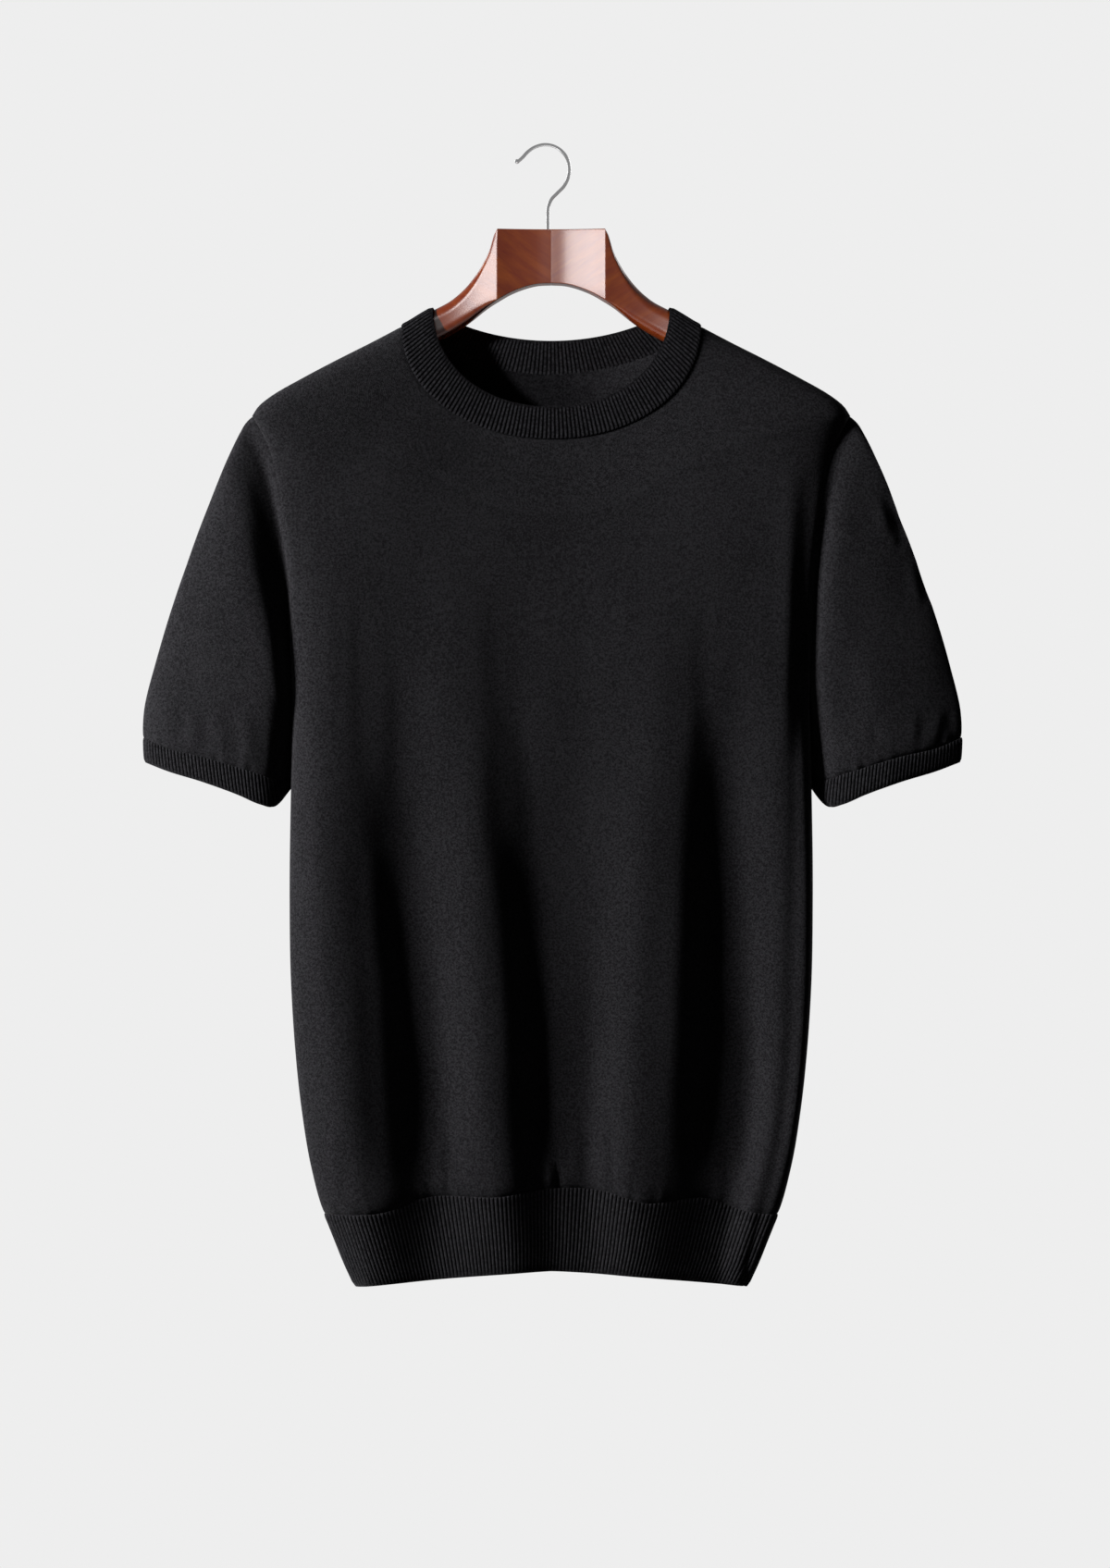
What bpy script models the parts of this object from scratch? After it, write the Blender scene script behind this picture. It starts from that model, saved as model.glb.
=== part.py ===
"""A short-sleeved knitted crew neck on a wooden hanger, hung by its steel hook.

Metres, +Z up. The front of the garment faces -Y and its wearer's left is +X. The origin is the top of
the hook's inside, where a rail bears. Heights are given as a drop below that point, so z = -drop.
"""

import math

import bpy
import numpy as np

FRONT = -1
BACK = 1
LEFT = 1
RIGHT = -1


def table(columns, *rows):
    """Rows of sizes as one array for each named column."""
    return dict(zip(columns.split(), np.array(rows, float).T))


# Cloth and seams.
CLOTH = 0.0015
SEAM_GAP = 0.0006
ARMHOLE_GAP = 0.0009
SEAM_REACH = 0.008
RIB_HEIGHT = 0.0009
NECK_RIB_PITCH = 0.0031
CUFF_RIB_PITCH = 0.00265
HEM_RIB_PITCH = 0.0025

# The centre plane of the garment and hanger hangs this far beside the hook's bearing point.
CENTRE_X = 0.0042

# Half the garment's width. The shoulder line runs from the neck down to the shoulder point, the armhole
# line on down to the underarm, and the side line to the hem.
SHOULDER_LINE = table(
    "drop half_width",
    (0.1160, 0.0850),
    (0.1295, 0.1068),
    (0.1406, 0.1273),
    (0.1538, 0.1530),
    (0.1671, 0.1777),
    (0.1803, 0.2002),
    (0.1870, 0.2085),
    (0.1945, 0.2135),
)
ARMHOLE_LINE = table(
    "drop half_width",
    (0.1945, 0.2135),
    (0.2050, 0.2075),
    (0.2180, 0.2012),
    (0.2350, 0.1965),
    (0.2640, 0.1913),
    (0.3040, 0.1863),
    (0.3500, 0.1850),
    (0.4000, 0.1845),
)
SIDE_LINE = table(
    "drop half_width",
    (0.4000, 0.1845),
    (0.4600, 0.1860),
    (0.5400, 0.1870),
    (0.6000, 0.1860),
    (0.6500, 0.1828),
    (0.6900, 0.1785),
    (0.7300, 0.1718),
    (0.7600, 0.1635),
    (0.7850, 0.1535),
    (0.8000, 0.1475),
    (0.8160, 0.1405),
)
SHOULDER_DROP = 0.1945
UNDERARM_DROP = 0.4000
ARMHOLE_HALF_DEPTH = 0.015

# Depth of each body section in front of and behind the side seams, and how square the section is: 2 is
# an ellipse, and more is boxier.
BODY_SECTIONS = table(
    "drop front back square",
    (0.116, 0.0150, 0.0150, 3.00),
    (0.130, 0.0160, 0.0160, 3.10),
    (0.150, 0.0170, 0.0165, 3.20),
    (0.175, 0.0180, 0.0175, 3.40),
    (0.200, 0.0200, 0.0190, 3.60),
    (0.250, 0.0235, 0.0210, 3.80),
    (0.300, 0.0255, 0.0225, 3.90),
    (0.400, 0.0270, 0.0235, 3.90),
    (0.500, 0.0270, 0.0240, 3.90),
    (0.600, 0.0265, 0.0235, 3.90),
    (0.700, 0.0260, 0.0230, 3.80),
    (0.760, 0.0250, 0.0225, 3.60),
    (0.816, 0.0240, 0.0215, 3.40),
)

# The shoulders sweep forward, as the hanger does, and the cloth below them less and less.
SWEEP = table("drop forward", (0.10, 0.018), (0.25, 0.017), (0.45, 0.013), (0.60, 0.009), (0.82, 0.005))
SWEEP_REACH = 0.300

# Vertical folds of the body: how far each crest or trough stands out of the section, and its place
# across the body at the chest, the waist, above the rib and at the hem.
FOLD_LEVELS = np.array([0.360, 0.560, 0.704, 0.800])
FRONT_FOLDS = table(
    "relief chest waist above_rib hem",
    (0.0050, -0.168, -0.162, -0.146, -0.130),
    (-0.0095, -0.110, -0.095, -0.084, -0.080),
    (0.0000, -0.062, -0.050, -0.044, -0.030),
    (-0.0110, -0.022, -0.003, 0.003, 0.010),
    (-0.0120, 0.014, 0.024, 0.024, 0.026),
    (-0.0050, 0.074, 0.066, 0.060, 0.058),
    (-0.0185, 0.126, 0.131, 0.134, 0.118),
    (-0.0070, 0.172, 0.170, 0.162, 0.138),
)
BACK_FOLDS = table(
    "relief chest waist above_rib hem",
    (0.0020, -0.166, -0.162, -0.152, -0.134),
    (-0.0080, -0.118, -0.112, -0.106, -0.096),
    (-0.0010, -0.066, -0.058, -0.052, -0.048),
    (-0.0100, -0.012, -0.002, 0.004, 0.008),
    (-0.0020, 0.048, 0.052, 0.052, 0.050),
    (-0.0100, 0.106, 0.108, 0.104, 0.094),
    (-0.0010, 0.164, 0.158, 0.150, 0.134),
)
FOLD_STRENGTH = table(
    "drop share",
    (0.260, 0.00),
    (0.310, 0.06),
    (0.350, 0.16),
    (0.425, 0.45),
    (0.500, 0.76),
    (0.600, 1.00),
    (0.720, 1.00),
    (0.770, 0.80),
    (0.816, 0.55),
)

# Neckline curves: half width and drop at the shoulder line, the fall from there to the middle, and two
# powers that set how full the curve is.
NECK_SEAM = {FRONT: (0.1068, 0.1295, 0.0811, 2.1, 2.1), BACK: (0.1068, 0.1295, 0.0329, 2.0, 1.1)}
NECK_EDGE = {FRONT: (0.0850, 0.1160, 0.0722, 2.1, 2.1), BACK: (0.0850, 0.1160, 0.0225, 2.0, 1.2)}

# The hem: where the rib starts, as a place across the half width, and where it ends.
RIB_TOP = {
    FRONT: table(
        "across drop",
        (-1.00, 0.7645),
        (-0.72, 0.7620),
        (-0.56, 0.7530),
        (-0.20, 0.7510),
        (-0.04, 0.7465),
        (0.22, 0.7475),
        (0.40, 0.7560),
        (0.66, 0.7530),
        (0.86, 0.7625),
        (1.00, 0.7650),
    ),
    BACK: table(
        "across drop",
        (-1.00, 0.7645),
        (-0.60, 0.7560),
        (-0.10, 0.7500),
        (0.40, 0.7525),
        (0.70, 0.7580),
        (1.00, 0.7650),
    ),
}
HEM_MIDDLE_DROP = {FRONT: 0.8040, BACK: 0.8020}
HEM_SIDE_DROP = 0.8160
HEM_ARCH_POWER = 1.25

# Sleeves. The outer line is the sleeve's silhouette from the shoulder point to the cuff, and the under
# line runs behind the body's side. Both are read at a share of the way down the sleeve.
OUTER_LINE = table(
    "share x drop",
    (0.00, 0.2135, 0.1945),
    (0.03, 0.2188, 0.2002),
    (0.06, 0.2225, 0.2069),
    (0.14, 0.2317, 0.2267),
    (0.31, 0.2480, 0.2665),
    (0.54, 0.2675, 0.3196),
    (0.77, 0.2840, 0.3726),
    (0.88, 0.2904, 0.3991),
    (1.00, 0.2922, 0.4240),
)
UNDER_LINE = table(
    "share x y drop",
    (0.00, 0.1847, 0.000, 0.400),
    (0.03, 0.1856, 0.006, 0.402),
    (0.08, 0.1858, 0.010, 0.406),
    (0.20, 0.1857, 0.011, 0.413),
    (0.40, 0.1860, 0.011, 0.423),
    (0.70, 0.1864, 0.011, 0.440),
    (1.00, 0.1868, 0.011, 0.456),
)
UNDER_TURN_POWER = 12
# Each sleeve's section, from its outer fold to the body: how far back the fold lies, how deep the front
# and the back bulge, and how square their outer and inner halves are.
SLEEVE_SECTIONS = {
    RIGHT: table(
        "share outer_back front back outer_square inner_square",
        (0.000, 0.0000, 0.0150, 0.0150, 2.00, 2.00),
        (0.035, 0.0000, 0.0098, 0.0150, 2.10, 2.20),
        (0.075, -0.0010, 0.0092, 0.0150, 2.80, 2.50),
        (0.140, -0.0010, 0.0124, 0.0155, 3.20, 2.70),
        (0.220, 0.0003, 0.0168, 0.0165, 2.50, 2.70),
        (0.320, 0.0026, 0.0192, 0.0180, 2.20, 2.50),
        (0.460, 0.0062, 0.0190, 0.0200, 2.15, 2.40),
        (0.650, 0.0120, 0.0172, 0.0220, 2.20, 2.40),
        (0.900, 0.0175, 0.0155, 0.0230, 2.30, 2.60),
        (1.000, 0.0190, 0.0150, 0.0230, 2.30, 2.60),
    ),
    LEFT: table(
        "share outer_back front back outer_square inner_square",
        (0.000, 0.0000, 0.0150, 0.0150, 2.00, 2.00),
        (0.025, -0.0030, 0.0113, 0.0150, 2.15, 2.10),
        (0.050, -0.0055, 0.0107, 0.0150, 2.00, 2.20),
        (0.090, -0.0085, 0.0116, 0.0152, 1.60, 2.40),
        (0.140, -0.0105, 0.0125, 0.0155, 1.35, 2.80),
        (0.220, -0.0118, 0.0129, 0.0160, 1.20, 3.20),
        (0.320, -0.0118, 0.0130, 0.0165, 1.20, 3.60),
        (0.460, -0.0110, 0.0130, 0.0165, 1.20, 4.00),
        (0.650, -0.0100, 0.0130, 0.0165, 1.20, 4.20),
        (0.900, -0.0095, 0.0128, 0.0165, 1.20, 4.20),
        (1.000, -0.0095, 0.0126, 0.0165, 1.20, 4.20),
    ),
}
# Drop of the cuff's seam and of its edge, across from the outer line to the under line.
CUFF_LINES = table(
    "across seam edge",
    (0.00, 0.4240, 0.4410),
    (0.15, 0.4310, 0.4470),
    (0.40, 0.4376, 0.4550),
    (0.65, 0.4455, 0.4645),
    (0.80, 0.4505, 0.4712),
    (0.88, 0.4535, 0.4728),
    (1.00, 0.4560, 0.4600),
)
CUFF_EDGE_OUTER_X = 0.2915
CUFF_EDGE_UNDER_X = 0.1871
CUFF_EDGE_SHARE = 0.96

# The hanger: two shaped wooden halves glued in the middle. Each row is an upright section of a half, with
# its half thickness in front of and behind the middle line. From the neck out, the top of the arm follows
# the inside of the shoulder.
ARM_TOP = table(
    "x drop",
    (0.0000, 0.0603),
    (0.0385, 0.0603),
    (0.0410, 0.0650),
    (0.0440, 0.0750),
    (0.0490, 0.0852),
    (0.0580, 0.0981),
    (0.0700, 0.1096),
    (0.0850, 0.1182),
)
ARM_SECTIONS = table(
    "x bottom front back corner",
    (0.0000, 0.0988, 0.0085, 0.0110, 0.0012),
    (0.0100, 0.0994, 0.0096, 0.0110, 0.0012),
    (0.0200, 0.1020, 0.0107, 0.0110, 0.0012),
    (0.0300, 0.1062, 0.0119, 0.0110, 0.0012),
    (0.0385, 0.1112, 0.0128, 0.0110, 0.0014),
    (0.0410, 0.1129, 0.0126, 0.0108, 0.0020),
    (0.0440, 0.1150, 0.0116, 0.0105, 0.0032),
    (0.0490, 0.1190, 0.0100, 0.0100, 0.0058),
    (0.0580, 0.1265, 0.0092, 0.0094, 0.0080),
    (0.0700, 0.1345, 0.0082, 0.0082, 0.0080),
    (0.0850, 0.1428, 0.0078, 0.0078, 0.0078),
    (0.1100, 0.1560, 0.0080, 0.0080, 0.0080),
    (0.1400, 0.1725, 0.0086, 0.0086, 0.0086),
    (0.1700, 0.1890, 0.0092, 0.0092, 0.0092),
    (0.1880, 0.1985, 0.0094, 0.0094, 0.0090),
    (0.1970, 0.2005, 0.0088, 0.0088, 0.0080),
    (0.2010, 0.1985, 0.0062, 0.0062, 0.0045),
)
ARM_NECK_X = 0.0850
ARM_SEAT_GAP = 0.0007
ARM_TIP_X = 0.1880
ARM_TIP_DROP = 0.0040
GLUE_GAP = 0.0003

# The hook: a bent wire with a ball at its tip.
WIRE_RADIUS = 0.0012
BALL_RADIUS = 0.0017
HOOK_LINE = table(
    "x drop",
    (-0.0219, 0.0113),
    (-0.0196, 0.0106),
    (-0.0163, 0.0079),
    (-0.0132, 0.0045),
    (-0.0086, 0.0011),
    (0.0000, -0.0012),
    (0.0086, 0.0011),
    (0.0149, 0.0074),
    (0.0172, 0.0160),
    (0.0162, 0.0228),
    (0.0134, 0.0285),
    (0.0084, 0.0337),
    (0.0042, 0.0382),
    (0.0023, 0.0428),
    (0.0018, 0.0480),
    (0.0018, 0.0850),
)
STEM_X = 0.0018
BORE_RADIUS = 0.00155
BORE_FLOOR_DROP = 0.0853
BORE_RUN_IN = 0.005

# How finely the pieces are divided.
FINE = 801
EDGE_COLUMNS = (0.4, 0.5, 0.7, 0.9)
PLAIN_COLUMNS = 28
SIDE_ROWS = 9
ARMHOLE_ROWS = 8
SHOULDER_ROW_DROPS = (0.1885, 0.1795, 0.1560, 0.1295)
SLEEVE_SHARES = (0, 0.04, 0.08, 0.15, 0.22, 0.32, 0.46, 0.62, 0.8, 0.92, 1)
NECK_RIB_GROUP = 2
CUFF_RIB_GROUP = 3
HEM_RIB_GROUP = 3
ARM_CORNER_STEPS = 3
BORE_SIDES = 16
WIRE_SIDES = 10
WIRE_STEP = 0.0028
BALL_RINGS = 6
BALL_TURNS = (0.25, 2.35)

BLACK_KNIT = ((0.018, 0.017, 0.019, 1.0), 0.9, 0.0)
BLACK_RIB = ((0.016, 0.015, 0.017, 1.0), 0.9, 0.0)
RED_BROWN_WOOD = ((0.19, 0.045, 0.016, 1.0), 0.3, 0.0)
BRIGHT_STEEL = ((0.62, 0.62, 0.62, 1.0), 0.22, 1.0)


def smooth(at, knots, values):
    """A smooth curve through the points (knots, values), read at any place between them."""
    slopes = np.gradient(values, knots)
    at = np.clip(at, knots[0], knots[-1])
    left = np.clip(np.searchsorted(knots, at) - 1, 0, len(knots) - 2)
    span = knots[left + 1] - knots[left]
    t = (at - knots[left]) / span
    return (
        (1 + 2 * t) * (1 - t) ** 2 * values[left]
        + t * (1 - t) ** 2 * span * slopes[left]
        + t * t * (3 - 2 * t) * values[left + 1]
        - t * t * (1 - t) * span * slopes[left + 1]
    )


def read(rows, column, at):
    """A table's column at a place along its first column."""
    return smooth(at, next(iter(rows.values())), rows[column])


def spaced(points, shares):
    """The points of a line at these shares of its length."""
    steps = np.linalg.norm(np.diff(points, axis=0), axis=1)
    along = np.concatenate([[0], np.cumsum(steps)])
    return np.stack([np.interp(shares * along[-1], along, points[:, k]) for k in range(3)], axis=1)


def evenly_spaced(points, count):
    return spaced(points, np.linspace(0, 1, count))


def length(points):
    return float(np.linalg.norm(np.diff(points, axis=0), axis=1).sum())


# ---- the body's surface ----


def armhole_share(drop):
    """How far down the armhole a drop is: 0 at the shoulder point, 1 at the underarm and below it."""
    return np.clip((drop - SHOULDER_DROP) / (UNDERARM_DROP - SHOULDER_DROP), 0, 1)


def seam_half_depth(drop):
    """How far the armhole seam stands in front of or behind the sleeve's middle line."""
    share = armhole_share(drop)
    return ARMHOLE_HALF_DEPTH * 2 * np.sqrt(share * (1 - share))


def edge_x(drop):
    """Half the width of a body panel: to its shoulder, armhole or side seam."""
    shoulder = read(SHOULDER_LINE, "half_width", drop)
    armhole = read(ARMHOLE_LINE, "half_width", drop)
    side = read(SIDE_LINE, "half_width", drop)
    return np.where(drop <= SHOULDER_DROP, shoulder, np.where(drop <= UNDERARM_DROP, armhole, side))


def sweep(x, drop):
    """How far forward the cloth is carried at a place across it."""
    reach = np.sin(math.pi / 2 * np.minimum(np.abs(x) / SWEEP_REACH, 1)) ** 2
    return -read(SWEEP, "forward", drop) * reach


def fold_relief(x, drop, side):
    """How far the folds lift the cloth out of its section, eased from each crest to the next trough."""
    folds = FRONT_FOLDS if side == FRONT else BACK_FOLDS
    levels = np.stack([folds[name] for name in ("chest", "waist", "above_rib", "hem")])
    edge = edge_x(drop)
    lines = [-edge, *(smooth(drop, FOLD_LEVELS, level) for level in levels.T), edge]
    heights = [0.0, *folds["relief"], 0.0]
    relief = np.zeros(np.broadcast(x, drop).shape)
    for k in range(len(lines) - 1):
        t = (x - lines[k]) / (lines[k + 1] - lines[k])
        eased = heights[k] + (heights[k + 1] - heights[k]) * t * t * (3 - 2 * t)
        relief = np.where((t >= 0) & (t <= 1), eased, relief)
    return relief * np.clip(read(FOLD_STRENGTH, "share", drop), 0, None)


def body_y(x, drop, side):
    """Front to back place of the body's outer face."""
    depth = read(BODY_SECTIONS, "front" if side == FRONT else "back", drop)
    square = read(BODY_SECTIONS, "square", drop)
    seam_share = seam_half_depth(drop) / depth
    full_width = edge_x(drop) / (1 - seam_share**square) ** (1 / square)
    across = np.clip(np.abs(x) / full_width, 0, 1)
    section = depth * (1 - across**square) ** (1 / square)
    return side * (section + fold_relief(x, drop, side)) + sweep(x, drop)


def on_body(x, drop, side):
    return np.stack([x, body_y(x, drop, side), -drop], axis=1)


def column_shares():
    """Where a body panel's columns fall along each of its rows: closer together near its edges."""
    steps = np.concatenate([EDGE_COLUMNS, np.ones(PLAIN_COLUMNS), EDGE_COLUMNS[::-1]])
    return np.concatenate([[0], np.cumsum(steps) / np.sum(steps)])


def body_line(side, drops_at):
    """A line of the body from side to side, at the drops that a function gives for each place across."""
    across = np.sin(np.linspace(-math.pi / 2, math.pi / 2, FINE))
    drop = drops_at(across)
    return spaced(on_body(across * edge_x(drop), drop, side), column_shares())


def neck_line(curve):
    """A neckline's places across it, and their drops, from the wearer's right shoulder to the left."""
    half_width, top, fall, across_power, down_power = curve
    across = np.sin(math.pi / 2 * np.sin(np.linspace(-math.pi / 2, math.pi / 2, FINE)))
    return across * half_width, top + fall * (1 - np.abs(across) ** across_power) ** (1 / down_power)


def rib_top_drop(side):
    return lambda across: read(RIB_TOP[side], "drop", across)


def hem_drop(side):
    middle = HEM_MIDDLE_DROP[side]
    return lambda across: middle + (HEM_SIDE_DROP - middle) * np.abs(across) ** HEM_ARCH_POWER


def neck_seam_drop(side):
    """Drop of the neck seam, for places across the body that reach its shoulder line at each end."""
    x, drop = neck_line(NECK_SEAM[side])
    return lambda across: np.interp(across, x / edge_x(drop), drop)


# ---- solids from surfaces ----


def grid_normals(grid, closed, outward):
    """Unit normals of a grid of points, on the side that outward points to."""
    down = np.gradient(grid, axis=0)
    if closed:
        along = np.roll(grid, -1, axis=1) - np.roll(grid, 1, axis=1)
    else:
        along = np.gradient(grid, axis=1)
    normals = np.cross(down, along)
    normals /= np.linalg.norm(normals, axis=2, keepdims=True)
    return normals * np.sign((normals * outward).sum())


SIDES = {
    "first_row": (np.s_[0], np.s_[1]),
    "last_row": (np.s_[-1], np.s_[-2]),
    "first_column": (np.s_[:, 0], np.s_[:, 1]),
    "last_column": (np.s_[:, -1], np.s_[:, -2]),
}


def stitch(faces, outer, inner):
    """Triangles that join a line of points to a sparser one beside it."""
    ratio = (len(outer) - 1) // (len(inner) - 1)
    for k in range(len(inner) - 1):
        start = k * ratio
        middle = start + (ratio + 1) // 2
        for j in range(start, start + ratio):
            faces.append((outer[j], outer[j + 1], inner[k] if j < middle else inner[k + 1]))
        faces.append((outer[middle], inner[k + 1], inner[k]))


def skin(faces, ids, flip=False):
    for above, below in zip(ids, ids[1:]):
        for k in range(len(above) - 1):
            loop = (above[k], above[k + 1], below[k + 1], below[k])
            faces.append((loop[0], *loop[:0:-1]) if flip else loop)


def wall_mesh(outer, inner, closed):
    """A closed wall between an outer grid and an inner one, which may have fewer columns."""
    outer_ids = np.arange(outer.shape[0] * outer.shape[1]).reshape(outer.shape[:2])
    inner_ids = np.arange(inner.shape[0] * inner.shape[1]).reshape(inner.shape[:2]) + outer_ids.size
    if closed:
        outer_ids = np.hstack([outer_ids, outer_ids[:, :1]])
        inner_ids = np.hstack([inner_ids, inner_ids[:, :1]])
    outer_ids, inner_ids = outer_ids.tolist(), inner_ids.tolist()
    faces = []
    skin(faces, outer_ids)
    skin(faces, inner_ids, flip=True)
    stitch(faces, outer_ids[0][::-1], inner_ids[0][::-1])
    stitch(faces, outer_ids[-1], inner_ids[-1])
    if not closed:
        skin(faces, [[row[0] for row in outer_ids], [row[0] for row in inner_ids]])
        skin(faces, [[row[-1] for row in inner_ids], [row[-1] for row in outer_ids]])
    return np.concatenate([outer.reshape(-1, 3), inner.reshape(-1, 3)]), faces


def material(name, finish):
    colour, roughness, metallic = finish
    made = bpy.data.materials.new(name)
    made.use_nodes = True
    shader = made.node_tree.nodes["Principled BSDF"]
    shader.inputs["Base Color"].default_value = colour
    shader.inputs["Roughness"].default_value = roughness
    shader.inputs["Metallic"].default_value = metallic
    return made


def facing_out(points, faces):
    """The faces, turned round where they enclose a negative volume."""
    volume = 0.0
    for face in faces:
        for second, third in zip(face[1:], face[2:]):
            volume += np.dot(points[face[0]], np.cross(points[second], points[third]))
    return faces if volume > 0 else [face[::-1] for face in faces]


def add_piece(name, points, faces, finish):
    points = np.asarray(points, float) + (CENTRE_X, 0, 0)
    mesh = bpy.data.meshes.new(name)
    mesh.from_pydata(points.tolist(), [], facing_out(points, faces))
    mesh.shade_smooth()
    mesh.set_sharp_from_angle(angle=math.radians(40))
    mesh.materials.append(material(name, finish))
    piece = bpy.data.objects.new(name, mesh)
    bpy.context.scene.collection.objects.link(piece)
    return piece


class Panel:
    """One cut piece: its grid of outer points, which sides of the grid are sewn to other pieces, and how
    many ribs share a face of its plain inside, or 0 for plain cloth."""

    def __init__(self, name, grid, outward, seams, closed=False, ribs=0, gap=SEAM_GAP):
        self.name, self.grid, self.seams = name, np.array(grid), seams
        self.closed, self.ribs, self.gap = closed, ribs, gap
        self.normals = grid_normals(self.grid, closed, outward)
        self.sewn = np.zeros(self.grid.shape[:2], bool)
        for side in seams:
            self.sewn[SIDES[side][0]] = True

    def add(self):
        drawn_in = self.grid.copy()
        for side in self.seams:
            edge, inner = SIDES[side]
            step = self.grid[inner] - self.grid[edge]
            drawn_in[edge] += step / np.linalg.norm(step, axis=1, keepdims=True) * self.gap / 2
        outer = drawn_in.copy()
        inner = drawn_in - self.normals * CLOTH
        if self.ribs:
            outer[:, 1::2] += self.normals[:, 1::2] * RIB_HEIGHT
            inner = inner[:, :: 2 * self.ribs]
        points, faces = wall_mesh(outer, inner, self.closed)
        add_piece(self.name, points, faces, BLACK_RIB if self.ribs else BLACK_KNIT)


def share_seam_normals(panels):
    """Makes the walls on both sides of a seam lean the same way, so that their edges meet square. Walls
    that lie against each other, as at the underarm, keep their own."""
    shared = []
    for panel in panels:
        points, own = panel.grid[panel.sewn], panel.normals[panel.sewn]
        total = own.copy()
        for other in panels:
            if other is panel:
                continue
            apart = np.linalg.norm(points[:, None] - other.grid[other.sewn][None], axis=2)
            theirs = other.normals[other.sewn][apart.argmin(axis=1)]
            joined = (apart.min(axis=1) < SEAM_REACH) & ((own * theirs).sum(axis=1) > 0)
            total[joined] += theirs[joined]
        shared.append(total / np.linalg.norm(total, axis=1, keepdims=True))
    for panel, normals in zip(panels, shared):
        panel.normals[panel.sewn] = normals


# ---- the cut pieces ----


def body_panel(name, side):
    """A front or back, from its rib to the neck seam, with rows at the underarm and the shoulder point."""
    bottom, top = rib_top_drop(side), neck_seam_drop(side)
    side_bottom, side_top = RIB_TOP[side]["drop"][-1], SHOULDER_ROW_DROPS[-1]
    drops = np.concatenate([
        np.linspace(side_bottom, UNDERARM_DROP, SIDE_ROWS + 1)[:-1],
        armhole_drops()[::-1],
        SHOULDER_ROW_DROPS,
    ])
    rows = []
    for share in (side_bottom - drops) / (side_bottom - side_top):
        line = lambda across: bottom(across) + (top(across) - bottom(across)) * share
        rows.append(body_line(side, line))
    return Panel(name, rows, (0, side, 0), ("first_row", "last_row", "first_column", "last_column"))


def armhole_drops():
    """Drops of the armhole's points, from the shoulder point to the underarm."""
    turn = np.linspace(0, math.pi, ARMHOLE_ROWS + 1)
    return SHOULDER_DROP + (UNDERARM_DROP - SHOULDER_DROP) * (1 - np.cos(turn)) / 2


def rib_columns(line, pitch, group):
    """Points along a line of ribs: two for each rib, and whole groups of ribs."""
    return 2 * group * round(length(line) / pitch / group) + 1


def hem_panel(name, body, side):
    seam = body.grid[0]
    edge = body_line(side, hem_drop(side))
    columns = rib_columns(edge, HEM_RIB_PITCH, HEM_RIB_GROUP)
    rows = [evenly_spaced(edge, columns), evenly_spaced(seam, columns)]
    return Panel(name, rows, (0, side, 0), ("last_row", "first_column", "last_column"), ribs=HEM_RIB_GROUP)


def neck_panel(name, bodies):
    """The collar: one ring of rib, from the neck seam of both body panels to its free edge."""
    rings = [[], [], []]
    for side in (FRONT, BACK):
        seam = bodies[side].grid[-1]
        columns = rib_columns(seam, NECK_RIB_PITCH, NECK_RIB_GROUP)
        seam_x, seam_drop = neck_line(NECK_SEAM[side])
        rim_x, rim_drop = neck_line(NECK_EDGE[side])
        middle = on_body((seam_x + rim_x) / 2, (seam_drop + rim_drop) / 2, side)
        for ring, line in zip(rings, (seam, middle, on_body(rim_x, rim_drop, side))):
            ring.append(evenly_spaced(line, columns)[::-side][:-1])
    rows = [np.concatenate(ring) for ring in rings]
    return Panel(name, rows, (0, 0, 1), ("first_row",), closed=True, ribs=NECK_RIB_GROUP)


def sleeve_section(share, across, turns, hand):
    """Front to back place of the sleeve's section, all round, with its under line carried back."""
    outer_back, front, back, outer_square, inner_square = (
        float(read(SLEEVE_SECTIONS[hand], name, share)) for name in list(SLEEVE_SECTIONS[hand])[1:]
    )
    middle = outer_back * (1 - across) + float(read(UNDER_LINE, "y", share)) * across**UNDER_TURN_POWER
    square = np.where((across < 0.5) & (turns <= math.pi), outer_square, inner_square)
    bulge = np.clip(1 - np.abs(np.cos(turns)) ** square, 0, 1) ** (1 / square)
    return middle + np.where(turns <= math.pi, -front, back) * bulge


def sleeve_ring(share, turns, hand):
    """A ring of the sleeve, a share of the way to the cuff, turned from its outer line round the front."""
    across = (1 - np.cos(turns)) / 2
    outer_x, outer_drop = (float(read(OUTER_LINE, name, share)) for name in ("x", "drop"))
    under_x, under_drop = (float(read(UNDER_LINE, name, share)) for name in ("x", "drop"))
    x = outer_x + (under_x - outer_x) * across
    drop = outer_drop + (under_drop - outer_drop) * across
    armhole_drop = SHOULDER_DROP + (UNDERARM_DROP - SHOULDER_DROP) * across
    armhole_x = edge_x(armhole_drop)
    chord_x = armhole_x[0] + (float(edge_x(UNDERARM_DROP)) - armhole_x[0]) * across
    seam, seam_ends = read(CUFF_LINES, "seam", across), read(CUFF_LINES, "seam", np.array([0.0, 1.0]))
    chord_seam = seam_ends[0] + (seam_ends[1] - seam_ends[0]) * across
    x = x + (1 - share) * (armhole_x - chord_x)
    drop = drop + share * (seam - chord_seam)
    y = sweep(x, drop) + sleeve_section(share, across, turns, hand)
    return np.stack([hand * x, y, -drop], axis=1)


def from_middle(rows):
    """Which way is outward on a tube given by its rings."""
    return np.array(rows) - np.mean(rows, axis=1, keepdims=True)


def sleeve_panel(name, hand):
    turns = np.arange(2 * ARMHOLE_ROWS) * math.pi / ARMHOLE_ROWS
    rows = [sleeve_ring(share, turns, hand) for share in SLEEVE_SHARES]
    return Panel(name, rows, from_middle(rows), ("first_row", "last_row"), closed=True, gap=ARMHOLE_GAP)


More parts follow.
